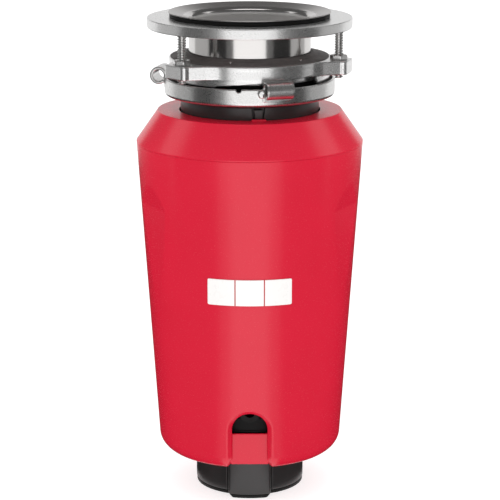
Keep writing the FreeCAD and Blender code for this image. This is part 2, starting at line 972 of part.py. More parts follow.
def hopper():
    step = "drain_flange_level + shredder_height + 1 - hopper_level"
    chamber = lathe(
        "hopper_shell",
        "hopper_level",
        [
            ("shredder_radius + 0.1", "0"),
            ("chamber_flange_radius", "0"),
            ("chamber_flange_radius", "4"),
            ("68.5", "6"),
            ("68.5", "29"),
            ("hopper_radius", "32"),
            ("hopper_radius", "62"),
            ("neck_radius", "82"),
            ("neck_radius", "105.6"),
            ("neck_bore", "105.6"),
            ("neck_bore", "80.5"),
            ("hopper_bore", "60.5"),
            ("hopper_bore", step),
            ("shredder_radius + 0.1", step),
        ],
    )
    hole = radial_rod("inlet_radius", "20", "58", "inlet_level", "inlet_turn")
    return keep(cut(chamber, hole), "hopper")


def dishwasher_inlet():
    tube = radial_rod("inlet_radius", "38", "64.4", "inlet_level", "inlet_turn")
    shoulder = radial_rod("inlet_radius + 2.6", "2", "66.6", "inlet_level", "inlet_turn")
    bore = radial_rod("inlet_bore", "50", "60", "inlet_level", "inlet_turn")
    return keep(cut(fuse(tube, shoulder), bore), "dishwasher_inlet")


def inlet_plug():
    return keep(radial_rod("inlet_bore", "2", "66", "inlet_level", "inlet_turn"), "inlet_plug")


def shredder_ring():
    ring = lathe(
        "grind_ring",
        "drain_flange_level",
        [
            ("shredder_bore", "0"),
            ("shredder_radius", "0"),
            ("shredder_radius", "shredder_height"),
            ("shredder_bore + 1", "shredder_height"),
            ("shredder_bore", "shredder_height - 2"),
        ],
    )
    teeth = [
        box("4", "2.6", "15", "shredder_bore + 1.8", z="drain_flange_level + 9", turn=str(15 * tooth))
        for tooth in range(24)
    ]
    return keep(cut(ring, *teeth), "shredder_ring")


def turntable():
    disc = lathe(
        "grind_disc",
        "turntable_level - 6",
        [
            ("shaft_radius", "0"),
            ("12", "0"),
            ("12", "6"),
            ("turntable_radius", "6"),
            ("turntable_radius", "6 + turntable_thickness"),
            ("shaft_radius", "6 + turntable_thickness"),
        ],
    )
    pins = [
        cylinder("impeller_pin", "6", y="-impeller_circle", z="turntable_level - 2", turn=turn)
        for turn in ("0", "180")
    ]
    drains = [
        cylinder("2.6", "6", y="-30", z="turntable_level - 2", turn=str(22.5 + 45 * hole))
        for hole in range(8)
    ]
    return keep(cut(disc, *pins, *drains), "turntable")


def turntable_nut():
    nut = prism(6, "19", "6", z="turntable_level + turntable_thickness")
    bore = cylinder("shaft_radius", "8", z="turntable_level + turntable_thickness - 1")
    return keep(cut(nut, bore), "turntable_nut")


def impellers():
    for label, turn in (("impeller_front", "0"), ("impeller_rear", "180")):
        level = "turntable_level + turntable_thickness + 0.3"
        arm = box("16", "24", "3", "impeller_circle + 15", z=level, turn=turn)
        hammer = box("16", "5.5", "15", "impeller_circle + 15", z=level, turn=turn)
        hole = cylinder(
            "impeller_pin + shaft_play", "8", y="-impeller_circle", z=f"{level} - 2", turn=turn
        )
        keep(cut(fuse(arm, hammer), hole), label)


def impeller_rivets():
    rivets = []
    for turn in ("0", "180"):
        pin = cylinder("impeller_pin", "8.4", y="-impeller_circle", z="turntable_level - 2.2", turn=turn)
        head = cylinder("6", "2", y="-impeller_circle", z="turntable_level + 6.2", turn=turn)
        foot = cylinder("5", "2.2", y="-impeller_circle", z="turntable_level - 2.2", turn=turn)
        rivets.append(fuse(pin, head, foot))
    return keep(group(*rivets), "impeller_rivets")


def shaft_ring(label, level, outer, height, play):
    ring = lathe(
        label,
        level,
        [
            (f"shaft_radius + {play}", "0"),
            (outer, "0"),
            (outer, height),
            (f"shaft_radius + {play}", height),
        ],
    )
    return keep(ring, label)


# ---------------------------------------------------------------- sink mount


def sink_flange():
    wall_inner = "sleeve_radius - sleeve_wall"
    top = "flange_top - sleeve_foot"
    flange = lathe(
        "flange",
        "sleeve_foot",
        [
            (wall_inner, "0"),
            ("sleeve_radius", "0"),
            ("sleeve_radius", "5.2"),
            ("sleeve_radius - 0.5", "5.3"),
            ("sleeve_radius - 0.5", "7.0"),
            ("sleeve_radius", "7.1"),
            ("sleeve_radius", f"{top} - flange_dish - 2.2"),
            ("sleeve_radius + 0.5", f"{top} - flange_dish - 1.45"),
            ("sleeve_radius + 1.9", f"{top} - flange_dish - 0.85"),
            ("flange_radius", f"{top} - flange_lip"),
            ("flange_radius", top),
            ("sleeve_radius + 1.6", f"{top} - flange_dish"),
            ("sleeve_radius - 0.5", f"{top} - flange_dish - 0.9"),
            (wall_inner, f"{top} - flange_dish - 3.0"),
        ],
    )
    return keep(flange, "sink_flange")


def sink_gasket():
    ring = lathe(
        "flange_gasket",
        "gasket_level",
        [
            ("sleeve_radius + 4", "0"),
            ("gasket_radius", "0"),
            ("gasket_radius", "2.9"),
            ("sleeve_radius + 4", "0.2"),
        ],
    )
    return keep(ring, "sink_gasket")


def ear_turns():
    return ["ear_turn", "ear_turn - 120", "ear_turn + 120"]


def support_ring():
    ring = lathe(
        "backup_ring",
        "support_level",
        [
            ("sleeve_radius + 0.4", "0"),
            ("support_radius", "0"),
            ("support_radius", "support_thickness"),
            ("sleeve_radius + 3.2", "support_thickness"),
            ("sleeve_radius + 0.4", "support_thickness - 2.4"),
        ],
    )
    round_off(ring, "support_radius", "support_thickness", "1.0")
    round_off(ring, "support_radius", "0", "1.0")
    dimples = [
        cylinder("rod_radius + 0.3", "3", y="-ear_circle", z="support_level - 1.4", turn=turn)
        for turn in ear_turns()
    ]
    return keep(cut(ring, *dimples), "support_ring")


def mounting_screws():
    for number, turn in enumerate(ear_turns(), start=1):
        length = "support_level + 1.3 - rod_foot"
        rod = cylinder("rod_radius", length, y="-ear_circle", z="rod_foot", turn=turn)
        slot = box("1.2", "8", "1.6", "ear_circle + 4", z="rod_foot", turn=turn)
        keep(cut(rod, slot), f"mounting_screw_{number}")


def ear_nuts():
    nuts = []
    for turn in ear_turns():
        nut = prism(6, "nut_flats", "nut_height", y="-ear_circle", z="ring_level + ring_height", turn=turn)
        bore = cylinder(
            "rod_radius + 0.06", "8", y="-ear_circle", z="ring_level + ring_height - 1", turn=turn
        )
        nuts.append(cut(nut, bore))
    return keep(group(*nuts), "ear_nuts")


def ear_offset(turn):
    """Where an ear's outline lies: on top of the ring's lower part, turned round the axis."""
    level = value("ring_height - ear_height")
    return FreeCAD.Placement(FreeCAD.Vector(0, 0, level), FreeCAD.Rotation(UP, value(turn)))


def upper_mounting_ring():
    ring = lathe(
        "cast_ring",
        "ring_level",
        [
            ("sleeve_radius + 0.4", "ring_height - 2.5"),
            ("48.4", "ring_height - 2.5"),
            ("48.4", "0.8"),
            ("50.2", "0.8"),
            ("50.2", "ring_height - 2.5"),
            ("ring_radius - ring_wall", "ring_height - 2.5"),
            ("ring_radius - ring_wall", "0"),
            ("ring_radius", "0"),
            ("ring_radius", "ring_height"),
            ("sleeve_radius + 0.4", "ring_height"),
        ],
    )
    outline = flat_sketch(ring, "XY_Plane", "ear_outline", ear_offset("ear_turn"))
    half = "ear_half_width"
    side = [
        ("21.6", "-52.0"),
        ("20.5", "-52.9"),
        ("19.8", "-53.7"),
        (half, "-ear_root"),
        (half, "-(ear_end - 3)"),
        (f"{half} - 0.88", "-(ear_end - 0.88)"),
        (f"{half} - 3", "-ear_end"),
    ]
    mirrored = [(f"-({x})", y) for x, y in reversed(side)]
    close_outline(outline, side + mirrored)
    ear = ring.newObject("PartDesign::Pad", "ear_pad")
    ear.Profile = outline
    bind(ear, "Length", "ear_height")
    ring.Tip = ear
    doc.recompute()
    repeat(ring, ear, outline, "N_Axis", 3)
    start = FreeCAD.Rotation(FreeCAD.Vector(0, 1, 0), value("ear_turn + ramp_offset - 90"))
    section = flat_sketch(
        ring, "XZ_Plane", "ramp_section", FreeCAD.Placement(FreeCAD.Vector(), start)
    )
    close_outline(
        section,
        [
            ("51.8", "-9"),
            ("ring_radius + 1.6", "-9"),
            ("ring_radius + 1.6", "ramp_start"),
            ("51.8", "ramp_start"),
        ],
    )
    ramp = ring.newObject("PartDesign::SubtractiveHelix", "ramp")
    ramp.Profile = section
    ramp.ReferenceAxis = (section, ["V_Axis"])
    ramp.Mode = 1
    bind(ramp, "Pitch", "ramp_rise * 360 / ramp_sweep")
    bind(ramp, "Turns", "ramp_sweep / 360")
    ring.Tip = ramp
    doc.recompute()
    repeat(ring, ramp, section, "V_Axis", 3)
    rods = [
        cylinder("rod_radius + 0.06", "20", y="-ear_circle", z="ring_level - 2", turn=turn)
        for turn in ear_turns()
    ]
    return keep(cut(ring, *rods), "upper_mounting_ring")


def snap_ring():
    wire = torus("sleeve_radius + 0.4", "0.8", z="sleeve_foot + 6.15", arc="330", turn="95")
    return keep(wire, "snap_ring")


def cushion_ring():
    cone = lathe(
        "cushion_cone",
        "ring_level + ring_height",
        [
            ("sleeve_radius", "0"),
            ("ring_radius - 0.6", "0"),
            ("ring_radius - 0.6", "0.5"),
            ("48.5", "2.0"),
            ("sleeve_radius + 1.4", "3.7"),
            ("sleeve_radius", "3.7"),
        ],
    )
    studs = [stud(turn, "0.9") for turn in stud_turns()]
    return keep(cut(cone, *studs), "cushion_ring")


def stud_turns():
    return [str(60 * number - 15.3) for number in range(6)]


def stud(turn, radius):
    return cylinder(radius, "2.6", y="-49.6", z="ring_level + ring_height", turn=turn)


def cushion_studs():
    return keep(group(*[stud(turn, "0.9") for turn in stud_turns()]), "cushion_studs")


def mounting_cushion():
    rubber = lathe(
        "cushion_body",
        "dish_level + 2.3",
        [
            ("neck_radius + 0.4", "0"),
            ("53.4", "0"),
            ("53.4", "4.3"),
            ("48.0", "6.7"),
            ("48.0", "19.9"),
            ("sleeve_radius + 0.2", "19.9"),
            ("sleeve_radius + 0.2", "9.7"),
            ("neck_bore + 0.6", "8.7"),
            ("neck_bore + 0.6", "1.8"),
            ("neck_radius + 0.4", "1.8"),
        ],
    )
    return keep(rubber, "mounting_cushion")


def splash_baffle():
    flaps = lathe(
        "baffle_disc",
        "baffle_level",
        [
            ("12", "5"),
            ("38", "9"),
            ("39.2", "10"),
            ("39.2", "20"),
            ("baffle_radius", "20"),
            ("baffle_radius", "0"),
            ("39.2", "0"),
            ("39.2", "7.6"),
            ("38", "7"),
            ("12", "3"),
        ],
    )
    slits = [
        box("1", "27", "8", "37", z="baffle_level + 2", turn=str(45 * slit)) for slit in range(8)
    ]
    return keep(cut(flaps, *slits), "splash_baffle")


def lower_mounting_ring():
    dish = lathe(
        "dish",
        "dish_level",
        [
            ("dish_bore", "0"),
            ("dish_radius", "0"),
            ("dish_radius", "dish_height"),
            ("dish_radius - 1.8", "dish_height"),
            ("dish_radius - 1.8", "3.4"),
            ("dish_radius - 3.2", "2.2"),
            ("dish_bore", "2.2"),
        ],
    )
    round_off(dish, "dish_radius", "0", "2.6")
    turns = ["tube_turn", "tube_turn - 120", "tube_turn + 120"]
    across = FreeCAD.Rotation(FreeCAD.Vector(0, 1, 0), 90)
    tubes = []
    hollows = []
    for turn in turns:
        for radius, made in (("tube_radius", tubes), ("tube_radius - tube_wall", hollows)):
            made.append(
                cylinder(radius, "tube_length", x="-tube_length / 2", y="-tube_circle",
                         z="tube_level", turn=turn, rotation=across)
            )
        tubes.append(
            box("tube_length", "1.5", "tube_level - dish_level - 3",
                "tube_circle - tube_radius + 1.5", z="dish_level + 3", turn=turn)
        )
    return keep(cut(fuse(dish, *tubes), *hollows), "lower_mounting_ring")


def neck_collar():
    collar = lathe(
        "collar",
        "collar_level",
        [
            ("neck_radius + 0.1", "0"),
            ("collar_radius", "0"),
            ("collar_radius", "collar_height - 1.8"),
            ("collar_radius + 1.7", "collar_height - 0.9"),
            ("collar_radius + 1.7", "collar_height"),
            ("neck_radius + 0.1", "collar_height"),
        ],
    )
    latch = box("7.4", "3", "8.4", "collar_radius + 1.1", z="top_face_level + 0.4", turn="7")
    return keep(fuse(collar, latch), "neck_collar")


# ---------------------------------------------------------------- build, check and write


def build_all():
    for make in (
        outer_housing, shoulder_cover, badge, insulation_sleeve,
        foot_pad, base_cap, base_screws, overload_protector, reset_button, reset_spring,
        lower_end_bell, cord_bush, motor_can, field_magnets, armature_core, armature_winding,
        commutator, motor_shaft, brush_card, brushes, brush_springs, rectifier_board, through_bolts,
        drain_chamber, chamber_seal, clamp_band, discharge_gasket, discharge_elbow,
        discharge_flange, discharge_screws,
        hopper, dishwasher_inlet, inlet_plug, shredder_ring, turntable, turntable_nut,
        impellers, impeller_rivets,
        sink_flange, sink_gasket, support_ring, mounting_screws, ear_nuts, upper_mounting_ring,
        snap_ring, cushion_ring, cushion_studs, mounting_cushion, splash_baffle,
        lower_mounting_ring, neck_collar,
    ):
        make()
    sleeve_bearing("lower_bearing", "bell_level", "20")
    sleeve_bearing("upper_bearing", "142", "26")
    shaft_ring("thrust_washer", "44.2", "bearing_radius - 1", "1.6", "shaft_play")
    shaft_ring("shaft_seal", "172", "bearing_radius", "11", "shaft_play")
    shaft_ring("water_slinger", "185.5", "14", "3", "0")


def check_and_write():
    doc.recompute()
    for thing in doc.Objects:
        if "Invalid" in thing.State or "Error" in thing.State:
            raise RuntimeError(f"{thing.Name} ({thing.Label}) failed: {thing.State}")
    os.makedirs("parts", exist_ok=True)
    for thing in SUB_PARTS:
        shape = thing.Shape
        if shape.isNull() or not shape.isValid() or not shape.Solids:
            raise RuntimeError(f"{thing.Label} has no valid solid")
        shape.exportStep(os.path.join("parts", thing.Label + ".step"))
    print(len(SUB_PARTS), "sub-parts written")


build_all()
check_and_write()
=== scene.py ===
"""Kitchen garbage disposal: the visible surfaces, materials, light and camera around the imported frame.

Lengths in the code are millimetres until MM turns them into metres. The front is -Y, and a turn is the
angle round the Z axis counted from the front towards +X.
"""
import json
import math

import bpy
import numpy as np
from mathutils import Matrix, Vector


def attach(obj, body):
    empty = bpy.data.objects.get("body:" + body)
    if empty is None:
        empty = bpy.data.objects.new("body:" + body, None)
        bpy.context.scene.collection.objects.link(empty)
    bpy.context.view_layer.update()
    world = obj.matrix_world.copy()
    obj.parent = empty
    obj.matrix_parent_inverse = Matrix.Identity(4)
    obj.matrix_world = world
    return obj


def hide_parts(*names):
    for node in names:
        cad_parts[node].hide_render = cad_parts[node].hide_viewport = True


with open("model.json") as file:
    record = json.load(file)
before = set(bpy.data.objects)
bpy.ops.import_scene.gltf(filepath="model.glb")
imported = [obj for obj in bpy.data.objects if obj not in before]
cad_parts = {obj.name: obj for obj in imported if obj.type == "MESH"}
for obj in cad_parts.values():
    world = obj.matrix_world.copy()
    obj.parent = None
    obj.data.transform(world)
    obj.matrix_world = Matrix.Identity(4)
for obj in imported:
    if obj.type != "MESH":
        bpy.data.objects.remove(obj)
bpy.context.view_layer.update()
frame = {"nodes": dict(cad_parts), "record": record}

MM = 0.001
ARC_STEP = 14.0
DIVIDER = 10.1


# ---------------- numbers and fields


def polar(radius, turn):
    """The plan position of a point at a radius and a turn."""
    angle = math.radians(turn)
    return radius * math.sin(angle), -radius * math.cos(angle)


def local(x, y, turn):
    """Plan coordinates seen from a turn: (sideways, outwards)."""
    angle = math.radians(turn)
    return x * math.cos(angle) + y * math.sin(angle), x * math.sin(angle) - y * math.cos(angle)


def join(first, second, fillet=0.0):
    """Union of two fields, with a round fillet in the corner between them."""
    if fillet <= 0:
        return np.minimum(first, second)
    gap = np.hypot(np.maximum(fillet - first, 0), np.maximum(fillet - second, 0))
    return np.maximum(fillet, np.minimum(first, second)) - gap


def meet(first, second, rounding=0.0):
    """Intersection of two fields, with a rounded edge where they cross."""
    if rounding <= 0:
        return np.maximum(first, second)
    over = np.hypot(np.maximum(first + rounding, 0), np.maximum(second + rounding, 0))
    return np.minimum(-rounding, np.maximum(first, second)) + over


def carve(solid, tool, rounding=0.0):
    """Takes a tool's field out of a solid, with a rounded edge."""
    return meet(solid, -tool, rounding)


def bevel(solid, tool, leg):
    """Carves a tool out of a solid and cuts the new edge off at 45 degrees."""
    return meet(meet(solid, -tool), (solid - tool + leg) / math.sqrt(2), 0.5)


def soft_meet(first, second, width):
    """Intersection whose edge is eased over a given difference of the two fields."""
    blend = np.maximum(width - np.abs(first - second), 0) / width
    return np.maximum(first, second) + blend * blend * width / 4


def band(values, low, high):
    """Field of the layer between two levels of a coordinate."""
    return np.abs(values - (low + high) / 2) - (high - low) / 2


def steps(*runs):
    """Grid levels from runs of (start, stop, step) that follow on from each other."""
    levels = []
    for start, stop, step in runs:
        count = max(1, round((stop - start) / step))
        levels.extend(np.linspace(start, stop, count, endpoint=False))
    levels.append(runs[-1][1])
    return np.array(levels)


def turns(zones, coarse, fine):
    """Turns all the way round, finer inside the given (centre, half width) zones."""
    found = []
    turn = -180.0
    while turn < 180.0 - coarse * 0.4:
        found.append(turn)
        near = any(abs((turn - centre + 180) % 360 - 180) < half for centre, half in zones)
        turn += fine if near else coarse
    return np.array(found)


# ---------------- meshes


def piece(name, points, faces):
    """A smooth-shaded mesh object from points in millimetres."""
    mesh = bpy.data.meshes.new(name)
    mesh.from_pydata((np.asarray(points) * MM).tolist(), [], faces)
    mesh.validate()
    mesh.update()
    mesh.polygons.foreach_set("use_smooth", [True] * len(mesh.polygons))
    weigh_normals(mesh)
    made = bpy.data.objects.new(name, mesh)
    bpy.context.scene.collection.objects.link(made)
    return made


def fetched(items, key, width, kind=float):
    """One attribute of all vertices, corners or faces, as rows."""
    values = np.zeros(len(items) * width, kind)
    items.foreach_get(key, values)
    return values.reshape(-1, width)


def weigh_normals(mesh):
    """Smooth normals in which the large flat faces count most."""
    corners = fetched(mesh.loops, "vertex_index", 1, np.int32)[:, 0]
    totals = fetched(mesh.polygons, "loop_total", 1, np.int32)[:, 0]
    weighted = fetched(mesh.polygons, "normal", 3) * fetched(mesh.polygons, "area", 1)
    spread = np.repeat(weighted, totals, axis=0)
    normals = np.zeros((len(mesh.vertices), 3))
    for axis in range(3):
        normals[:, axis] = np.bincount(corners, spread[:, axis], len(mesh.vertices))
    length = np.linalg.norm(normals, axis=1)
    normals /= np.maximum(length, 1e-20)[:, None]
    mesh.normals_split_custom_set_from_vertices(normals.tolist())


def oriented(points, faces):
    """The faces, turned so that the closed surface faces outwards."""
    quads = np.asarray(faces)
    a, b, c, d = (points[quads[:, i]] for i in range(4))
    volume = np.einsum("ij,ij->i", a, np.cross(b, c) + np.cross(c, d)).sum()
    return (quads[:, ::-1] if volume < 0 else quads).tolist()


def skin(name, field, first, second, third, place, wrap=True):
    """The surface of a field, as quads on a bent grid of first x second x third levels.

    place maps the three grid coordinates to x, y, z. With wrap, the first axis closes on itself.
    """
    grid = np.meshgrid(first, second, third, indexing="ij")
    spots = np.stack(place(*grid), axis=-1)
    depth = field(spots[..., 0], spots[..., 1], spots[..., 2])
    if wrap:
        spots = np.concatenate([spots, spots[:1]])
        depth = np.concatenate([depth, depth[:1]])
    cells = tuple(size - 1 for size in depth.shape)
    total = np.zeros(cells + (3,))
    count = np.zeros(cells)
    crossings = []
    for axis in range(3):
        low = [slice(None)] * 3
        high = [slice(None)] * 3
        low[axis], high[axis] = slice(None, -1), slice(1, None)
        start, stop = depth[tuple(low)], depth[tuple(high)]
        crossed = (start < 0) != (stop < 0)
        share = np.where(crossed, start / np.where(crossed, start - stop, 1), 0)[..., None]
        point = spots[tuple(low)] * (1 - share) + spots[tuple(high)] * share
        point *= crossed[..., None]
        others = [other for other in range(3) if other != axis]
        for shift_a in (0, 1):
            for shift_b in (0, 1):
                take = [slice(None)] * 3
                for other, shift in zip(others, (shift_a, shift_b)):
                    take[other] = slice(shift, cells[other] + shift)
                total += point[tuple(take)]
                count += crossed[tuple(take)]
        crossings.append((others, crossed, start < 0))
    used = count > 0
    number = np.full(cells, -1)
    number[used] = np.arange(used.sum())
    points = total[used] / count[used][:, None]
    faces = []
    for axis, (others, crossed, inside) in enumerate(crossings):
        where = np.argwhere(crossed)
        keep = np.ones(len(where), bool)
        for other in others:
            if wrap and other == 0:
                keep &= where[:, 0] < cells[0]
            else:
                keep &= (where[:, other] > 0) & (where[:, other] < cells[other])
        where = where[keep]
        corner = []
        for back_a, back_b in ((1, 1), (0, 1), (0, 0), (1, 0)):
            spot = where.copy()
            spot[:, others[0]] -= back_a
            spot[:, others[1]] -= back_b
            if wrap:
                spot[:, 0] %= cells[0]
            corner.append(number[tuple(spot.T)])
        quads = np.stack(corner, axis=1)
        flip = inside[tuple(where.T)]
        if axis == 1:
            flip = ~flip
        quads[flip] = quads[flip][:, ::-1]
        faces.append(quads)
    faces = np.concatenate(faces)
    points = settle(points, field)
    return piece(name, points, oriented(points, faces))


def settle(points, field):
    """Moves points onto the field's surface along its slope."""
    rounds, reach, tiny, least_slope = 3, 0.4, 0.01, 0.05
    for _ in range(rounds):
        here = field(*points.T)
        slope = np.zeros_like(points)
        for axis in range(3):
            ahead = points.copy()
            ahead[:, axis] += tiny
            slope[:, axis] = (field(*ahead.T) - here) / tiny
        size = np.maximum((slope**2).sum(axis=1), least_slope)
        move = -here / size
        limit = reach / np.sqrt(size)
        points = points + slope * np.clip(move, -limit, limit)[:, None]
    return points


def ring_grid(turn, height, radius):
    """Places a grid point by its turn, height and radius."""
    angle = np.radians(turn)
    return radius * np.sin(angle), -radius * np.cos(angle), height


def eased(corners):
    """A closed outline of (radius, level, rounding) corners, with each rounding drawn as an arc."""
    outline = []
    count = len(corners)
    for index, (radius, level, rounding) in enumerate(corners):
        here = np.array([radius, level])
        before = np.array(corners[index - 1][:2]) - here
        after = np.array(corners[(index + 1) % count][:2]) - here
        if rounding <= 0:
            outline.append(here)
            continue
        before_long, after_long = np.linalg.norm(before), np.linalg.norm(after)
        before, after = before / before_long, after / after_long
        opening = math.acos(np.clip(before @ after, -1, 1))
        reach = rounding / math.tan(opening / 2)
        limit = 0.49 * min(before_long, after_long)
        if reach > limit:
            rounding *= limit / reach
            reach = limit
        middle = here + (before + after) / np.linalg.norm(before + after) * rounding / math.sin(opening / 2)
        start, stop = here + before * reach - middle, here + after * reach - middle
        sweep = math.atan2(start[0] * stop[1] - start[1] * stop[0], start @ stop)
        parts = max(2, math.ceil(abs(math.degrees(sweep)) / ARC_STEP))
        for part in range(parts + 1):
            angle = sweep * part / parts
            cos, sin = math.cos(angle), math.sin(angle)
            spoke = np.array([start[0] * cos - start[1] * sin, start[0] * sin + start[1] * cos])
            outline.append(middle + spoke)
    return np.array(outline)


def turned(name, corners, around, place=ring_grid):
    """A turned piece: a closed outline of (radius, level, rounding) corners swept round its axis."""
    outline = eased(corners)
    angles = np.arange(around) * 360.0 / around
    turn, which = np.meshgrid(angles, np.arange(len(outline)), indexing="ij")
    points = np.stack(place(turn, outline[which][..., 1], outline[which][..., 0]), axis=-1).reshape(-1, 3)
    faces = woven(around, len(outline))
    return piece(name, points, oriented(points, faces))


def woven(rows, columns, close_rows=True):
    """Quads that join a rows x columns array of points, whose columns close on themselves."""
    row_count = rows if close_rows else rows - 1
    row, column = np.meshgrid(np.arange(row_count), np.arange(columns), indexing="ij")
    row, column = row.ravel(), column.ravel()
    next_row, next_column = (row + 1) % rows, (column + 1) % columns
    return np.stack(
        [row * columns + column, next_row * columns + column,
         next_row * columns + next_column, row * columns + next_column],
        axis=1,
    )


def merged(name, parts):
    """Several pieces made into one object."""
    points, faces, offset = [], [], 0
    for part in parts:
        mesh = part.data
        points.append(fetched(mesh.vertices, "co", 3) / MM)
        faces.extend([[corner + offset for corner in face.vertices] for face in mesh.polygons])
        offset += len(mesh.vertices)
        bpy.data.objects.remove(part)
    return piece(name, np.concatenate(points), faces)


# ---------------- materials


class Surface:
    """A procedural material under construction, on object coordinates in metres."""

    def __init__(self, name, colour, roughness, metallic=0.0, **sockets):
        self.material = bpy.data.materials.new(name)
        self.material.use_nodes = True
        self.tree = self.material.node_tree
        self.shader = self.tree.nodes["Principled BSDF"]
        self.colour = colour
        self.roughness = roughness
        self.shader.inputs["Base Color"].default_value = (*colour, 1)
        self.shader.inputs["Metallic"].default_value = metallic
        self.shader.inputs["Roughness"].default_value = roughness
        for socket, amount in sockets.items():
            self.shader.inputs[socket.replace("_", " ").title().replace("Ior", "IOR")].default_value = amount
        self.coordinates = self.node("ShaderNodeTexCoord").outputs["Object"]
        self.height = None

    def node(self, kind, **settings):
        """A new shader node with some of its settings made."""
        made = self.tree.nodes.new(kind)
        for key, amount in settings.items():
            setattr(made, key, amount)
        return made

    def link(self, source, target):
        """Joins an output socket to an input socket."""
        self.tree.links.new(source, target)

    def noise(self, scale, detail=3.0, stretch=(1, 1, 1), source=None):
        """Noise with a scale in cells per metre."""
        mapping = self.node("ShaderNodeMapping")
        mapping.inputs["Scale"].default_value = stretch
        self.link(source or self.coordinates, mapping.inputs["Vector"])
        noise = self.node("ShaderNodeTexNoise")
        noise.inputs["Scale"].default_value = scale
        noise.inputs["Detail"].default_value = detail
        self.link(mapping.outputs["Vector"], noise.inputs["Vector"])
        return noise.outputs["Fac"]

    def math(self, operation, first, second=None):
        """The result of a math node on a socket and a second socket or a number."""
        made = self.node("ShaderNodeMath", operation=operation)
        self.link(first, made.inputs[0])
        if isinstance(second, float):
            made.inputs[1].default_value = second
        elif second is not None:
            self.link(second, made.inputs[1])
        return made.outputs[0]

    def split(self, source):
        """The three parts of a vector."""
        made = self.node("ShaderNodeSeparateXYZ")
        self.link(source, made.inputs["Vector"])
        return made.outputs["X"], made.outputs["Y"], made.outputs["Z"]

    def cylindrical(self):
        """Coordinates (radius, scaled angle, height), for marks that run round the axis."""
        typical_radius = 0.05
        x, y, z = self.split(self.coordinates)
        radius = self.math("SQRT", self.math("ADD", self.math("MULTIPLY", x, x), self.math("MULTIPLY", y, y)))
        around = self.math("MULTIPLY", self.math("ARCTAN2", x, y), typical_radius)
        joined = self.node("ShaderNodeCombineXYZ")
        for socket, part in zip(("X", "Y", "Z"), (radius, around, z)):
            self.link(part, joined.inputs[socket])
        return joined.outputs[0]

    def spread(self, source, low, high, from_low=0.3, from_high=0.7):
        """Stretches a 0-1 signal between two values."""
        ranged = self.node("ShaderNodeMapRange")
        amounts = {"From Min": from_low, "From Max": from_high, "To Min": low, "To Max": high}
        for socket, amount in amounts.items():
            ranged.inputs[socket].default_value = amount
        self.link(source, ranged.inputs["Value"])
        return ranged.outputs["Result"]

    def vary_roughness(self, source, amount):
        """Drifts the roughness by an amount both ways."""
        self.link(self.spread(source, self.roughness - amount, self.roughness + amount),
                  self.shader.inputs["Roughness"])
        return self

    def vary_colour(self, source, other, from_low=0.35, from_high=0.7):
        """Drifts between the base colour and another one."""
        mix = self.node("ShaderNodeMix", data_type="RGBA")
        mix.inputs["A"].default_value = (*self.colour, 1)
        mix.inputs["B"].default_value = (*other, 1)
        self.link(self.spread(source, 0, 1, from_low, from_high), mix.inputs["Factor"])
        self.link(mix.outputs["Result"], self.shader.inputs["Base Color"])
        return self

    def bump(self, source, height_mm, strength=1.0):
        """Adds relief on top of the relief that is there."""
        bump = self.node("ShaderNodeBump")
        bump.inputs["Distance"].default_value = height_mm * MM
        bump.inputs["Strength"].default_value = strength
        self.link(source, bump.inputs["Height"])
        if self.height is not None:
            self.link(self.height, bump.inputs["Normal"])
        self.height = bump.outputs["Normal"]
        self.link(self.height, self.shader.inputs["Normal"])
        return self


def moulded(name, colour, other, roughness, grain, height, **sockets):
    """Moulded plastic: fine spark-eroded grain, slow colour drift and slightly uneven gloss."""
    made = Surface(name, colour, roughness, **sockets)
    fine = made.noise(grain, 4)
    made.vary_colour(made.noise(28, 2), other)
    made.vary_roughness(fine, 0.05)
    made.bump(fine, height)
    return made.bump(made.noise(60, 2), height * 2.5, 0.5).material


def rubber(name, colour, other, roughness):
    """Matt rubber with a fine grain and a faint bloom."""
    made = Surface(name, colour, roughness, specular_ior_level=0.2)
    made.vary_colour(made.noise(90, 4), other)
    made.vary_roughness(made.noise(300, 3), 0.08)
    return made.bump(made.noise(2200, 3), 0.03).material


def cast_metal(name, colour, other, roughness, grain, height, pits=0.0, metallic=1.0):
    """Die-cast and tumbled metal: fine pebbled skin with faint stains."""
    made = Surface(name, colour, roughness, metallic)
    made.vary_colour(made.noise(55, 4), other)
    made.vary_roughness(made.noise(grain, 3), 0.07)
    made.bump(made.noise(grain, 4), height)
    if pits:
        made.bump(made.spread(made.noise(420, 2), 0, 1, 0.62, 0.72), -pits)
    return made.material


def turned_metal(name, colour, other, roughness, lines, height):
    """Metal finished on a lathe or polished round: fine marks that follow the turning."""
    made = Surface(name, colour, roughness, 1.0)
    around = made.cylindrical()
    marks = made.noise(lines, 3, (1, 0.02, 1), around)
    made.vary_colour(made.noise(40, 3), other)
    made.vary_roughness(marks, 0.06)
    return made.bump(marks, height).material


def sleeve_metal(name, colour, other, roughness, lines, height):
    """Polished outside and on the rim, brushed on the plate and rough down the inside of the sleeve. Above
    the plate's level the colour turns to the darker second colour, which is painted shade on the plate's top
    and upper rim.
    """
    made = Surface(name, colour, roughness, 1.0)
    around = made.cylindrical()
    radius, _, level = made.split(around)
    above = made.spread(level, 0, 1, 0.3395, 0.3410)
    blend = made.node("ShaderNodeMix", data_type="FLOAT")
    made.link(above, blend.inputs["Factor"])
    made.link(made.spread(radius, 0.55, roughness, 0.0419, 0.0424), blend.inputs["A"])
    made.link(made.spread(radius, 0.13, 0.30, 0.0455, 0.0475), blend.inputs["B"])
    made.link(blend.outputs["Result"], made.shader.inputs["Roughness"])
    made.link(made.spread(blend.outputs["Result"], 1.0, 0.75, 0.30, 0.55), made.shader.inputs["Metallic"])
    # painted shade: the plate's top and upper rim take the darker second colour
    made.vary_colour(above, other, 0.0, 1.0)
    return made.bump(made.noise(lines, 3, (1, 0.02, 1), around), height).material


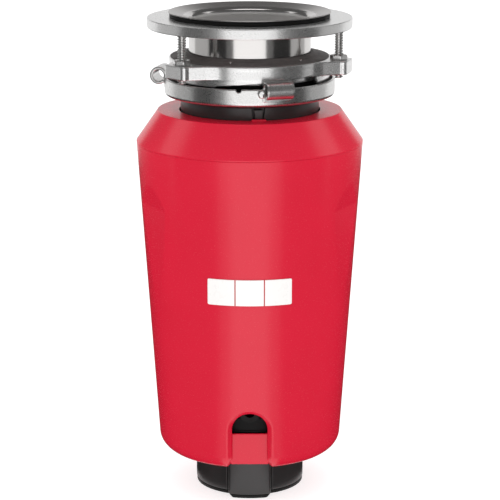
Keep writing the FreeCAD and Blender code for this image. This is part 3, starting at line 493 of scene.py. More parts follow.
def badge_metal(name, colour, other, roughness):
    """White enamel with two painted lines where the plate is divided."""
    made = Surface(name, colour, roughness, coat_weight=0.3, coat_roughness=0.12)
    across = made.math("ABSOLUTE", made.split(made.coordinates)[0])
    distance = made.math("ABSOLUTE", made.math("SUBTRACT", across, DIVIDER * MM))
    made.vary_colour(made.spread(distance, 1, 0, 0.0003, 0.0005), other, 0.0, 1.0)
    made.vary_roughness(made.noise(300, 3), 0.05)
    return made.bump(made.noise(900, 3), 0.006).material


def layered(name, colour, other, roughness, metallic, pitch_mm):
    """Thin layers stacked along Z, such as sheet laminations or turns of wire."""
    made = Surface(name, colour, roughness, metallic)
    wave = made.node("ShaderNodeTexWave", wave_type="BANDS", bands_direction="Z")
    wave.inputs["Scale"].default_value = 0.314 / (pitch_mm * MM)
    wave.inputs["Distortion"].default_value = 0.6
    wave.inputs["Detail"].default_value = 2.0
    made.link(made.coordinates, wave.inputs["Vector"])
    made.vary_colour(wave.outputs["Fac"], other, 0.2, 0.9)
    made.vary_roughness(made.noise(600, 3), 0.08)
    return made.bump(wave.outputs["Fac"], -0.12).material


def make_materials():
    """One material for each slot, by name."""
    made = [
        moulded("red_shell", (0.64, 0.0045, 0.030), (0.62, 0.0042, 0.028), 0.235, 1500, 0.008,
                specular_ior_level=0.58),
        badge_metal("badge_plate", (0.86, 0.845, 0.83), (0.62, 0.05, 0.06), 0.30),
        moulded("foam", (0.30, 0.30, 0.31), (0.20, 0.20, 0.21), 0.9, 700, 0.25),
        moulded("black_plastic", (0.018, 0.0172, 0.0172), (0.024, 0.023, 0.023), 0.36, 1200, 0.012,
                specular_ior_level=0.75),
        rubber("black_rubber", (0.006, 0.006, 0.006), (0.010, 0.0097, 0.0095), 0.5),
        rubber("grey_rubber", (0.118, 0.104, 0.100), (0.095, 0.084, 0.081), 0.5),
        # the second colour here is painted shade for the top of the flange's plate
        sleeve_metal("polished_steel", (0.74, 0.72, 0.705), (0.56, 0.54, 0.53), 0.15, 3200, 0.003),
        cast_metal("satin_cast", (0.87, 0.865, 0.86), (0.84, 0.835, 0.83), 0.27, 2300, 0.004, metallic=0.95),
        cast_metal("pressed_steel", (0.85, 0.845, 0.835), (0.80, 0.795, 0.785), 0.29, 1900, 0.0012),
        cast_metal("raw_casting", (0.50, 0.50, 0.49), (0.40, 0.40, 0.39), 0.46, 800, 0.06, pits=0.1),
        turned_metal("grind_steel", (0.60, 0.59, 0.57), (0.52, 0.51, 0.49), 0.28, 1800, 0.012),
        moulded("motor_steel", (0.004, 0.004, 0.0042), (0.007, 0.007, 0.0072), 0.4, 700, 0.015,
                specular_ior_level=0.12),
        layered("laminations", (0.42, 0.42, 0.43), (0.20, 0.20, 0.21), 0.4, 1.0, 0.5),
        moulded("ferrite", (0.055, 0.055, 0.06), (0.085, 0.085, 0.09), 0.55, 900, 0.04),
        layered("copper", (0.62, 0.27, 0.12), (0.36, 0.13, 0.05), 0.28, 0.9, 0.9),
        cast_metal("bronze", (0.56, 0.36, 0.17), (0.45, 0.28, 0.13), 0.42, 1200, 0.03, pits=0.05),
        moulded("carbon", (0.03, 0.03, 0.032), (0.055, 0.055, 0.06), 0.5, 1500, 0.03),
        moulded("circuit_board", (0.02, 0.16, 0.07), (0.03, 0.20, 0.09), 0.35, 1000, 0.01,
                coat_weight=0.5, coat_roughness=0.15),
        moulded("hopper_plastic", (0.10, 0.10, 0.105), (0.13, 0.13, 0.135), 0.5, 800, 0.04),
        moulded("button_red", (0.62, 0.02, 0.02), (0.55, 0.016, 0.016), 0.25, 900, 0.008,
                coat_weight=0.4, coat_roughness=0.1),
    ]
    # a name that the frame has already taken gets a number behind a dot
    return {material.name.split(".")[0]: material for material in made}


MATERIALS = make_materials()
SLOT_OF = {row["node"]: row["material_slot"] for row in frame["record"]["subparts"]}
BODY_OF = {node: body for body, members in frame["record"]["behaviour"]["bodies"].items() for node in members}


def wear(made, node):
    """Gives a new piece the slot, material and body of the CAD node that it replaces."""
    slot = SLOT_OF[node]
    made.data.materials.clear()
    made.data.materials.append(MATERIALS[slot])
    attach(made, BODY_OF[node])
    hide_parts(node)


# ---------------- red jacket

FLOOR, EDGE = 27.0, 254.0
FLOOR_RADIUS, EDGE_RADIUS = 65.13, 80.4
FLOOR_ROUNDING, FLOOR_WALL, FLOOR_HOLE = 11.0, 3.0, 40.2
TAPER = (EDGE_RADIUS - FLOOR_RADIUS) / (EDGE - FLOOR)
SLANT = math.cos(math.atan(TAPER))
JACKET_WALL = 2.5
SEAM = EDGE - 1.0

# the hollows at both sides: planes given as (distance from the axis, level, slope)
RECESS_TURN = 62.5
RECESS_PLANE = (73.5, 152.0, 1.9 / 60)
RECESS_CEILING = (75.4, 212.0, 6.0 / 28)
RECESS_EASING = 0.35
PAD_INNER, PAD_HALF_WIDTH, PAD_LEVEL, PAD_HALF_HEIGHT = 72.5, 20.0, 201.0, 33.0

# the arched slot at the front, with its lips inside and the panel in its foot
SLOT_HALF, SLOT_CENTRE, SLOT_BACK, SLOT_BEVEL = 12.5, 57.4, 52.0, 3.3
LIP_WALL, LIP_BACK, LIP_FRONT = 2.0, 58.0, 74.0
PANEL_FOOT, PANEL_TOP, PANEL_BACK, PANEL_FRONT = 31.0, 53.7, 58.0, 60.0
PANEL_LAP = 0.6

# the openings at the back
OUTLET_LEVEL, OUTLET_HOLE = 159.8, 21.0
INLET_LEVEL, INLET_HOLE = 236.0, 12.5
HOLE_EDGE = 0.6


def jacket_radius(height):
    """Outer radius of the tapering jacket."""
    return FLOOR_RADIUS + (height - FLOOR) * TAPER


def plane_distance(plane, height):
    """How far from the axis a leaning plane stands at a height."""
    distance, level, slope = plane
    return distance + (height - level) * slope


def arch_field(x, z):
    """An upright slot with a round top."""
    return np.where(z > SLOT_CENTRE, np.hypot(x, z - SLOT_CENTRE), np.abs(x)) - SLOT_HALF


def jacket_outside(x, y, z):
    """The jacket as a solid, with its hollowed sides and rounded floor."""
    shell = (np.hypot(x, y) - jacket_radius(z)) * SLANT
    for side in (-1, 1):
        outward = local(x, y, side * RECESS_TURN)[1]
        hollow = np.maximum(plane_distance(RECESS_PLANE, z), plane_distance(RECESS_CEILING, z))
        shell = soft_meet(shell, outward - hollow, RECESS_EASING)
    return meet(meet(shell, FLOOR - z, FLOOR_ROUNDING), z - SEAM, 0.1)


def jacket_inside(x, y, z):
    """The room in the jacket, which leaves pads behind the hollows and lips beside the slot."""
    room = (np.hypot(x, y) - jacket_radius(z) + JACKET_WALL) * SLANT
    room = meet(room, FLOOR + FLOOR_WALL - z, FLOOR_ROUNDING - FLOOR_WALL)
    for side in (-1, 1):
        sideways, outward = local(x, y, side * RECESS_TURN)
        pad = meet(np.abs(sideways) - PAD_HALF_WIDTH, np.abs(z - PAD_LEVEL) - PAD_HALF_HEIGHT)
        room = carve(room, meet(PAD_INNER - outward, pad), 1.0)
    lips = meet(arch_field(x, z) - LIP_WALL, band(y, -LIP_FRONT, -LIP_BACK))
    return carve(room, lips, 0.6)


def slot_panel(x, y, z, outside):
    """The flat panel that closes the foot of the slot, within the jacket's outside."""
    panel = meet(np.abs(x) - SLOT_HALF - PANEL_LAP, band(y, -PANEL_FRONT, -PANEL_BACK))
    panel = meet(panel, z - PANEL_TOP, 0.4)
    return meet(panel, meet(PANEL_FOOT - z, outside))


def jacket_field(x, y, z):
    """The whole moulding."""
    outside = jacket_outside(x, y, z)
    body = bevel(outside, meet(arch_field(x, z), y + SLOT_BACK), SLOT_BEVEL)
    body = carve(body, jacket_inside(x, y, z))
    body = carve(body, np.hypot(x, y) - FLOOR_HOLE, 0.4)
    for level, hole in ((OUTLET_LEVEL, OUTLET_HOLE), (INLET_LEVEL, INLET_HOLE)):
        body = carve(body, meet(np.hypot(x, z - level) - hole, -y), HOLE_EDGE)
    return join(body, slot_panel(x, y, z, outside), 0.3)


def follow_jacket(turn, height, depth):
    """Places a grid point at a depth from the jacket's surface."""
    return ring_grid(turn, height, jacket_radius(height) + depth)


TOP_LEVEL, TOP_RADIUS, NECK_RADIUS, COVER_WALL = 276.0, 65.0, 49.8, 2.5
LATCH_TURN = 7.0
TAB_HALF, TAB_INNER, TAB_OUTER = 5.0, 49.9, 52.6


def tab_field(x, y, z):
    """The small tab beside the collar's latch."""
    sideways, outward = local(x, y, LATCH_TURN)
    plan = meet(np.abs(sideways) - TAB_HALF, band(outward, TAB_INNER, TAB_OUTER), 0.6)
    return meet(plan, band(z, TOP_LEVEL - 1.5, TOP_LEVEL + 1.0), 0.5)


def make_shoulder():
    """Cone over the jacket, with a lip that reaches into it."""
    seam_radius = EDGE_RADIUS - TAPER
    lip_outer = seam_radius - 2.95
    lip_inner = lip_outer - 1.8
    cover = turned("shoulder_ring", [
        (lip_outer, SEAM - 4, 0.3), (lip_outer, SEAM + 0.03, 0), (seam_radius - 0.02, SEAM + 0.03, 0.03),
        (EDGE_RADIUS, EDGE, 0.45), (TOP_RADIUS, TOP_LEVEL, 0.9), (NECK_RADIUS, TOP_LEVEL, 0.5),
        (NECK_RADIUS, TOP_LEVEL - COVER_WALL, 0.3), (TOP_RADIUS - 1, TOP_LEVEL - COVER_WALL, 0.5),
        (lip_inner, EDGE - 1, 0.5), (lip_inner, SEAM - 4, 0.3),
    ], around=216)
    across, along = polar(TAB_OUTER - 1.4, LATCH_TURN)
    tab = skin("tab", tab_field, np.arange(across - 7, across + 7.1, 0.35),
               np.arange(along - 3.4, along + 3.5, 0.35), np.arange(TOP_LEVEL - 2.1, TOP_LEVEL + 1.6, 0.3),
               lambda x, y, z: (x, y, z), wrap=False)
    wear(merged("shoulder_cover_moulding", [cover, tab]), "shoulder_cover")


BADGE_LOW, BADGE_HIGH, BADGE_HALF, BADGE_PROUD = 151.0, 169.7, 29.0, 0.9
GROOVE_HALF, GROOVE_DEPTH = 0.35, 0.55


def badge_field(x, y, z):
    """A plate bent round the jacket, divided by two grooves."""
    proud = np.hypot(x, y) - jacket_radius(z) - BADGE_PROUD
    outline = meet(np.abs(x) - BADGE_HALF, band(z, BADGE_LOW, BADGE_HIGH), 1.1)
    plate = meet(meet(outline, proud, 0.35), -(proud + BADGE_PROUD + 0.05), 0.05)
    groove = meet(np.abs(np.abs(x) - DIVIDER) - GROOVE_HALF, -(proud + GROOVE_DEPTH))
    return meet(carve(plate, groove, 0.08), y)


# ---------------- foot and base cap

BOSS_RADIUS, BOSS_HALF, BOSS_TOP, CAP_RADIUS = 46.3, 15.2, 26.7, 39.1
PAD_TOP, CAP_FOOT, CAP_TOP = 2.5, 2.6, 32.0
RIM_WIDTH, RIM_HEIGHT = 4.0, 1.9
CAP_WALL, CAP_FLOOR, BOSS_FRONT_WALL, BOSS_SIDE_WALL = 2.8, 3.0, 2.6, 2.4
SCREW_TURNS, SCREW_CIRCLE, SCREW_HOLE = (60, 180, 300), 30.0, 2.2
BUTTON_CIRCLE, BUTTON_HOLE = 37.8, 4.2


def screw_holes(body, x, y, radius):
    """Leaves out the three screw holes of the base."""
    for turn in SCREW_TURNS:
        across, along = polar(SCREW_CIRCLE, turn)
        body = carve(body, np.hypot(x - across, y - along) - radius, 0.2)
    return body


def cap_field(x, y, z):
    """A drum with a boss at the front, hollow inside."""
    radius = np.hypot(x, y)
    drum = meet(meet(radius - CAP_RADIUS, CAP_FOOT - z, 0.8), z - CAP_TOP)
    boss = meet(meet(np.abs(x) - BOSS_HALF, radius - BOSS_RADIUS, 1.4), y)
    boss = meet(meet(boss, CAP_FOOT - z, 0.6), z - BOSS_TOP, 0.6)
    rim = meet(radius - CAP_RADIUS - RIM_WIDTH, band(z, CAP_TOP - RIM_HEIGHT, CAP_TOP))
    body = join(join(drum, boss, 0.4), rim, 0.6)
    for side in (-1, 1):
        seam = np.hypot(x - side * (BOSS_HALF + 0.25), y + 35.8) - 0.9
        body = carve(body, meet(seam, y), 0.25)
    inner_floor = CAP_FOOT + CAP_FLOOR
    room = meet(radius - CAP_RADIUS + CAP_WALL, inner_floor - z, 1.0)
    boss_room = meet(np.abs(x) - BOSS_HALF + BOSS_SIDE_WALL, radius - BOSS_RADIUS + BOSS_FRONT_WALL)
    boss_room = meet(meet(boss_room, y), band(z, inner_floor, BOSS_TOP - BOSS_SIDE_WALL))
    body = carve(body, join(room, boss_room), 0.3)
    body = screw_holes(body, x, y, SCREW_HOLE)
    return carve(body, meet(np.hypot(x, y + BUTTON_CIRCLE) - BUTTON_HOLE, z - 12), 0.2)


def foot_field(x, y, z):
    """A thin pad in the outline of the cap, narrower towards the floor at the boss."""
    radius = np.hypot(x, y)
    boss_side = np.abs(x) - BOSS_HALF + 0.3 + (CAP_FOOT - z) * 0.9
    boss_front = radius - BOSS_RADIUS + 0.2 + (CAP_FOOT - z) * 0.15
    boss = meet(meet(boss_side, boss_front, 1.2), y)
    outline = join(radius - CAP_RADIUS + 0.35, boss, 0.4)
    body = meet(meet(outline, z - PAD_TOP, 0.45), -z, 0.2)
    body = screw_holes(body, x, y, SCREW_HOLE + 2)
    for groove in (12.0, 20.0):
        body = carve(body, meet(np.abs(radius - groove) - 0.7, z - 0.6), 0.15)
    return carve(body, np.hypot(x, y + BUTTON_CIRCLE) - BUTTON_HOLE - 1.2, 0.2)


# ---------------- sink mount

EAR_TURNS = (74.1, -45.9, 194.1)
TUBE_TURNS = (17.8, -102.2, 137.8)
RING_LEVEL, RING_TOP, RING_RADIUS = 299.0, 313.6, 56.4
ROD_CIRCLE, ROD_RADIUS = 64.3, 3.2
DISH_LEVEL, DISH_TOP, DISH_RADIUS = 286.6, 298.9, 60.1
TUBE_CIRCLE, TUBE_LEVEL, TUBE_RADIUS, TUBE_HALF = 64.2, 298.7, 6.2, 9.5
SLEEVE_OUTER, SLEEVE_INNER, SLEEVE_FOOT = 43.0, 41.6, 304.0
FLANGE_RADIUS, FLANGE_TOP = 57.0, 345.2
GASKET_INNER, GASKET_RADIUS = 47.0, 56.3
SUPPORT_INNER, SUPPORT_RADIUS, SUPPORT_LEVEL, SUPPORT_TOP = 43.4, 72.1, 334.3, 341.2


def make_screw(number, turn):
    """A jack screw with a real helical thread, rolled over its whole length."""
    foot, top, pitch, depth, taper = 300.6, 335.5, 1.8, 1.05, 0.45
    around, levels_per_pitch = 28, 8
    levels = np.arange(foot, top, pitch / levels_per_pitch)
    angle = np.arange(around) * 2 * math.pi / around
    rows = []
    for level in levels:
        phase = (level / pitch - angle / (2 * math.pi)) % 1.0
        ridge = np.clip(np.abs(phase - 0.5) * 2.6 - 0.15, 0, 1)
        ends = np.clip(min(level - foot, top - level) / 0.8, 0, 1)
        radius = ROD_RADIUS - depth * ridge - taper * (1 - ends)
        height = np.full(around, level)
        rows.append(np.stack([radius * np.cos(angle), radius * np.sin(angle), height], axis=-1))
    wall = np.concatenate(rows)
    wall[:, :2] += polar(ROD_CIRCLE, turn)
    faces = [face[::-1] for face in woven(len(levels), around, close_rows=False).tolist()]
    caps = [list(range(around))[::-1], [(len(levels) - 1) * around + step for step in range(around)]]
    made = piece(f"jack_screw_thread_{number}", wall, faces + caps)
    wear(made, f"mounting_screw_{number}")


def make_nut(turn):
    """A hexagon nut whose corners are chamfered on top, as turned nuts are."""
    bore, apothem, low, high, around = 3.27, 5.55, RING_TOP + 0.02, 317.0, 96
    across, along = polar(ROD_CIRCLE, turn)
    rows = []
    for step in range(around):
        angle = 2 * math.pi * step / around
        folded = (angle + math.pi / 6) % (math.pi / 3) - math.pi / 6
        rim = min(apothem / math.cos(folded), apothem / math.cos(math.pi / 6) - 0.12)
        shoulder = high - max(rim - apothem + 0.25, 0) * 0.62
        column = [(bore, low), (rim - 0.15, low), (rim, low + 0.15), (rim, shoulder - 0.12),
                  (rim - 0.12, shoulder), (apothem - 0.3, high), (4.0, high), (bore + 0.03, high - 0.5)]
        cos, sin = math.cos(angle + math.radians(turn)), math.sin(angle + math.radians(turn))
        rows += [(across + radius * cos, along + radius * sin, level) for radius, level in column]
    points = np.array(rows)
    return piece("nut", points, oriented(points, woven(around, len(column))))


def make_nuts():
    """The nuts on the three ears, as one piece."""
    wear(merged("ear_nut_set", [make_nut(turn) for turn in EAR_TURNS]), "ear_nuts")


RAMP_START, RAMP_SPAN, RAMP_END, RAMP_RISE = 21.1, 78.0, 81.0, 5.8
EAR_HALF, EAR_END, EAR_ROOT, EAR_HEIGHT = 10.3, 72.2, 68.0, 9.4
EAR_SPREAD, EAR_LEAN = 0.66, 1.1 / 1.2
UPPER_WALL, UPPER_ROOF, UPPER_BORE = 3.0, 2.5, 43.4
SKIRT_INNER, SKIRT_OUTER = 48.4, 50.2


def ear_plan(x, y):
    """Outline of the upper ring with its three ears, seen from above."""
    plan = np.hypot(x, y) - RING_RADIUS
    for turn in EAR_TURNS:
        sideways, outward = local(x, y, turn)
        side = np.abs(sideways) - EAR_HALF - np.maximum(EAR_ROOT - outward, 0) * EAR_SPREAD
        ear = meet(meet(side * EAR_LEAN, outward - EAR_END, 3.0), 30 - outward)
        plan = join(plan, ear, 4.0)
    return plan


def upper_ring_field(x, y, z):
    """A ring with three ramps under its wall and three ears for the jack screws."""
    radius = np.hypot(x, y)
    climb = (np.degrees(np.arctan2(x, -y)) - EAR_TURNS[0] - RAMP_START) % 120.0
    ending = np.clip((RAMP_END - climb) / (RAMP_END - RAMP_SPAN), 0, 1)
    foot = RING_LEVEL + (0.7 + RAMP_RISE * np.clip(climb / RAMP_SPAN, 0, 1)) * ending
    wall = meet(band(radius, RING_RADIUS - UPPER_WALL, RING_RADIUS), foot - z, 0.7)
    roof = meet(band(radius, UPPER_BORE, RING_RADIUS), RING_TOP - UPPER_ROOF - z, 0.4)
    skirt = meet(band(radius, SKIRT_INNER, SKIRT_OUTER), RING_LEVEL + 0.8 - z, 0.5)
    ring = join(join(wall, roof, 0.8), skirt, 0.6)
    ears = meet(meet(ear_plan(x, y), 54.5 - radius), RING_TOP - EAR_HEIGHT - z, 0.6)
    ring = meet(join(ring, ears, 0.7), z - RING_TOP, 0.5)
    for turn in EAR_TURNS:
        across, along = polar(ROD_CIRCLE, turn)
        ring = carve(ring, np.hypot(x - across, y - along) - ROD_RADIUS - 0.08, 0.35)
    return ring


DISH_WALL, DISH_FLOOR, DISH_BORE = 1.8, 2.2, 49.4
NOTCH_TURN, NOTCH_RADIUS = -7.2, 1.7
PIN_TURN, PIN_RADIUS, PIN_END = 7.6, 2.1, 60.95
TUBE_THICKNESS, STRAP_THICKNESS = 2.2, 1.8


def tube_field(x, y, z, turn):
    """A strap bent outwards into a tube that points along the ring."""
    sideways, outward = local(x, y, turn)
    across, up = outward - TUBE_CIRCLE, z - TUBE_LEVEL
    roll = band(np.hypot(across, up), TUBE_RADIUS - TUBE_THICKNESS, TUBE_RADIUS)
    cleft = meet(np.abs(up * 0.82 - across * 0.57) - 0.45, across + TUBE_THICKNESS)
    roll = carve(roll, meet(cleft, up), 0.2)
    strap_inner = DISH_RADIUS - 2.0
    strap = band(outward, strap_inner, strap_inner + STRAP_THICKNESS)
    strap = meet(strap, band(z, DISH_LEVEL + 4, TUBE_LEVEL))
    tube = meet(join(roll, strap, 0.8), np.abs(sideways) - TUBE_HALF, 0.45)
    return meet(tube, 40 - outward)


def lower_ring_field(x, y, z):
    """A pressed dish with a notch, a stop pin and three tubes."""
    radius = np.hypot(x, y)
    dish = meet(meet(radius - DISH_RADIUS, DISH_LEVEL - z, 2.6), z - DISH_TOP, 0.5)
    dish = carve(dish, meet(radius - DISH_RADIUS + DISH_WALL, DISH_LEVEL + DISH_FLOOR - z, 1.6), 0.35)
    dish = carve(dish, radius - DISH_BORE, 0.5)
    sideways, outward = local(x, y, NOTCH_TURN)
    notch = meet(np.hypot(sideways, z - DISH_TOP + 0.3) - NOTCH_RADIUS, 52 - outward)
    dish = carve(dish, notch, 0.3)
    sideways, outward = local(x, y, PIN_TURN)
    pin = np.hypot(sideways, (z - DISH_TOP + 3.1) * 0.75) - PIN_RADIUS
    dish = join(dish, meet(pin, band(outward, 58.0, PIN_END), 0.45), 0.3)
    for turn in TUBE_TURNS:
        dish = join(dish, tube_field(x, y, z, turn), 0.9)
    return dish


CUSHION_INNER, CUSHION_RADIUS, CUSHION_HEIGHT = SLEEVE_OUTER + 0.02, 55.8, 3.7
STUD_CIRCLE, STUD_TURN, STUD_COUNT = 49.6, -15.3, 6


def beside(centre):
    """Maps a turned outline (radius, level) onto an upright axis at a place in plan."""
    def place(turn, height, radius):
        x, y, z = ring_grid(turn, height, radius)
        return x + centre[0], y + centre[1], z
    return place


def make_studs():
    """Small domed studs that hold the rubber ring down."""
    studs = []
    for index in range(STUD_COUNT):
        centre = polar(STUD_CIRCLE, 360 / STUD_COUNT * index + STUD_TURN)
        studs.append(turned("stud", [
            (0.02, RING_TOP + 0.4, 0), (0.9, RING_TOP + 0.4, 0.05), (0.9, RING_TOP + 2.1, 0.45),
            (0.4, RING_TOP + 2.6, 0.3), (0.02, RING_TOP + 2.6, 0),
        ], around=20, place=beside(centre)))
    wear(merged("cushion_stud_set", studs), "cushion_studs")


COLLAR_INNER, COLLAR_RADIUS, COLLAR_FOOT, COLLAR_TOP = 45.3, 48.9, 270.0, 286.2
BEAD_RADIUS, BEAD_HEIGHT = 50.6, 1.3
LATCH_HALF, LATCH_FOOT, LATCH_TOP, LATCH_FLARE = 2.5, 276.6, 283.4, 0.1


def collar_field(x, y, z):
    """A collar with a bead on top and a latch that stands in a moat."""
    radius = np.hypot(x, y)
    body = meet(band(radius, COLLAR_INNER, COLLAR_RADIUS), band(z, COLLAR_FOOT, COLLAR_TOP), 0.4)
    bead = meet(band(radius, 46.0, BEAD_RADIUS), band(z, COLLAR_TOP - BEAD_HEIGHT, COLLAR_TOP), 0.5)
    body = join(body, bead, 0.8)
    sideways, outward = local(x, y, LATCH_TURN)
    flare = np.abs(sideways) - LATCH_HALF - (z - LATCH_FOOT) * LATCH_FLARE
    latch = meet(flare, band(outward, 47.0, COLLAR_RADIUS + 1.05), 0.4)
    latch = meet(latch, band(z, LATCH_FOOT, LATCH_TOP), 0.4)
    moat = meet(flare - 1.2, meet(46.6 - outward, LATCH_FOOT - 0.6 - z))
    moat = meet(moat, z - LATCH_TOP - 1.0)
    return join(carve(body, moat, 0.2), latch, 0.1)


# ---------------- outlets at the back

ELBOW_OUTER, ELBOW_INNER, ELBOW_FLARE = 19.0, 17.2, 1.9
ELBOW_START, ELBOW_BEND, ELBOW_SWING = 82.3, 92.3, 26.0
SPIGOT_INNER, SPIGOT_OUTER = 7.5, 9.0


def elbow_path():
    """Stations (y, level, tilt) along the elbow's middle line."""
    path = [(y, OUTLET_LEVEL, 0.0) for y in (ELBOW_START, ELBOW_START + 2.4, ELBOW_START + 5.5, ELBOW_BEND)]
    for step in range(1, 25):
        angle = math.pi / 2 * step / 24
        path.append((ELBOW_BEND + ELBOW_SWING * math.sin(angle),
                     OUTLET_LEVEL - ELBOW_SWING + ELBOW_SWING * math.cos(angle), angle))
    for drop in (6.0, 12.0, 17.0, 19.0, 19.8, 20.6, 21.4, 22.0):
        path.append((ELBOW_BEND + ELBOW_SWING, OUTLET_LEVEL - ELBOW_SWING - drop, math.pi / 2))
    return path


def make_elbow():
    """Discharge elbow, with a flared collar at its start and eased edges at its end."""
    angles = np.arange(72) * 2 * math.pi / 72
    path = elbow_path()
    outside, inside = [], []
    for index, (y, z, tilt) in enumerate(path):
        flare = ELBOW_FLARE if index < 2 else 0.0
        last = index == len(path) - 1
        radii = (ELBOW_OUTER + flare - (0.5 if last else 0.0), ELBOW_INNER + (0.4 if last else 0.0))
        for radius, target in zip(radii, (outside, inside)):
            up = radius * np.cos(angles)
            across = radius * np.sin(angles)
            target.append(np.stack([across, y + up * math.sin(tilt), z + up * math.cos(tilt)], axis=-1))
    rings = outside + inside[::-1]
    points = np.concatenate(rings)
    faces = oriented(points, woven(len(rings), len(angles)))
    wear(piece("elbow_pipe", points, faces), "discharge_elbow")


def behind(level):
    """Maps a turned outline (radius, level) onto an axis that runs back along +Y at a height."""
    def place(turn, along, radius):
        angle = np.radians(turn)
        return radius * np.sin(angle), along, level + radius * np.cos(angle)
    return place


def make_inlet():
    """Barbed spigot for the dishwasher's hose."""
    barb = [(7.4, 64.4, 0.2), (9.3, 64.4, 0.3), (9.3, 66.6, 0), (12.1, 66.6, 0.3), (12.1, 68.6, 0.4)]
    barb.append((SPIGOT_OUTER, 68.6, 0.3))
    for foot in (78.0, 85.0, 92.0):
        barb += [(SPIGOT_OUTER, foot, 0.2), (SPIGOT_OUTER + 0.5, foot + 0.3, 0.15)]
        barb.append((SPIGOT_OUTER, foot + 5.0, 0.2))
    barb += [(8.9, 101.6, 0.3), (8.4, 102.3, 0.2), (SPIGOT_INNER, 102.3, 0.2)]
    wear(turned("inlet_spigot", barb, around=72, place=behind(INLET_LEVEL)), "dishwasher_inlet")


# ---------------- tables of pieces

# pieces skinned from a field: node, name, field, then turns, levels and depths of a grid that is finest
# round the edges and openings, how the grid is placed, and False where it doesn't go all the way round
SKINNED = (
    ("outer_housing", "jacket", jacket_field,
     turns([(0, 17), (RECESS_TURN, 17), (-RECESS_TURN, 17), (180, 19)], 1.5, 0.45),
     steps((25.9, 42, 0.5), (42, 76, 0.5), (76, 148, 2.0), (148, 190, 1.0), (190, 230, 0.8),
           (230, 250, 1.4), (250, 253.6, 0.25)),
     steps((-26.5, -12, 1.45), (-12, 1.2, 0.55)), follow_jacket),
    ("badge", "badge_plate_blank", badge_field, np.arange(-25.2, 25.3, 0.28),
     steps((BADGE_LOW - 0.4, BADGE_HIGH + 0.4, 0.3)), steps((-0.4, 1.3, 0.17)), follow_jacket, False),
    ("base_cap", "base_cap_moulding", cap_field,
     turns([(0, 29), (60, 6), (-60, 6), (180, 6)], 2.0, 0.7),
     steps((2.0, 6.2, 0.35), (6.2, 24.0, 1.2), (24.0, 32.8, 0.4)),
     steps((0.6, 26, 1.8), (26, 47.2, 0.5)), ring_grid),
    ("foot_pad", "foot_pad_rubber", foot_field,
     turns([(0, 29), (60, 9), (-60, 9), (180, 9)], 2.0, 0.8),
     steps((-0.35, 3.0, 0.3)), steps((0.6, 10, 1.8), (10, 22, 0.6), (22, 47, 0.55)), ring_grid),
    ("upper_mounting_ring", "upper_ring_casting", upper_ring_field,
     turns([(turn, 25) for turn in EAR_TURNS] + [(turn - 20, 4) for turn in EAR_TURNS], 1.2, 0.5),
     steps((RING_LEVEL - 0.6, RING_TOP + 0.7, 0.45)),
     steps((42.8, 52.4, 0.6), (52.4, 58.4, 0.45), (58.4, 73.4, 0.5)), ring_grid),
    ("lower_mounting_ring", "lower_ring_pressing", lower_ring_field,
     turns([(turn, 11.5) for turn in TUBE_TURNS] + [(NOTCH_TURN, 3.5)], 1.3, 0.45),
     steps((DISH_LEVEL - 0.5, 305.7, 0.4)), steps((48.8, 56.6, 0.65), (56.6, 71.2, 0.4)), ring_grid),
    ("neck_collar", "collar_moulding", collar_field, turns([(LATCH_TURN, 8)], 1.6, 0.4),
     steps((269.5, 275.5, 1.0), (275.5, 286.8, 0.35)), steps((44.6, 51.4, 0.35)), ring_grid),
)

# pieces turned round the axis: node, name, outline, points around
TURNED = (
    # a dished plate and its sleeve, with a groove for the snap ring
    ("sink_flange", "flange_pressing", [
        (SLEEVE_INNER, SLEEVE_FOOT, 0.3), (SLEEVE_OUTER, SLEEVE_FOOT, 0.3), (SLEEVE_OUTER, 309.2, 0.2),
        (SLEEVE_OUTER - 0.5, 309.35, 0.1), (SLEEVE_OUTER - 0.5, 310.95, 0.1), (SLEEVE_OUTER, 311.1, 0.2),
        (SLEEVE_OUTER, 339.7, 0.8), (SLEEVE_OUTER + 0.5, 340.35, 0.5), (44.9, 340.95, 0.6),
        (FLANGE_RADIUS, FLANGE_TOP - 0.75, 0.25), (FLANGE_RADIUS, FLANGE_TOP, 0.35),
        (45.6, 342.05, 2.2), (42.9, 340.9, 1.6), (SLEEVE_INNER, 338.0, 2.2),
    ], 216),
    # the rubber wedge between the flange's plate and the support ring
    ("sink_gasket", "gasket_rubber", [
        (GASKET_INNER, SUPPORT_TOP, 0.05), (GASKET_RADIUS, SUPPORT_TOP, 0.4),
        (GASKET_RADIUS, SUPPORT_TOP + 2.9, 0.4), (GASKET_INNER, SUPPORT_TOP + 0.2, 0.05),
    ], 180),
    # the thick flat ring that the jack screws press upwards
    ("support_ring", "support_ring_casting", [
        (SUPPORT_INNER, SUPPORT_LEVEL, 0.4), (SUPPORT_RADIUS, SUPPORT_LEVEL, 0.7),
        (SUPPORT_RADIUS, SUPPORT_TOP, 0.5), (SUPPORT_INNER + 2.8, SUPPORT_TOP, 0.2),
        (SUPPORT_INNER, SUPPORT_TOP - 2.4, 0.3),
    ], 240),
    # the rubber ring that rises from the upper ring to the sleeve
    ("cushion_ring", "cushion_ring_rubber", [
        (CUSHION_INNER, RING_TOP, 0), (CUSHION_RADIUS, RING_TOP, 0.1), (CUSHION_RADIUS, RING_TOP + 0.5, 0.2),
        (48.5, RING_TOP + 2.0, 1.2), (44.4, RING_TOP + CUSHION_HEIGHT, 0.4),
        (CUSHION_INNER, RING_TOP + CUSHION_HEIGHT, 0),
    ], 180),
)

# ---------------- studio, in metres

FLOOR_HALF, FLOOR_SHADE, FLOOR_GLOW = 9.0, 0.50, 0.68
CLOTH_LEVEL, CLOTH_STEP = 0.0015, 2

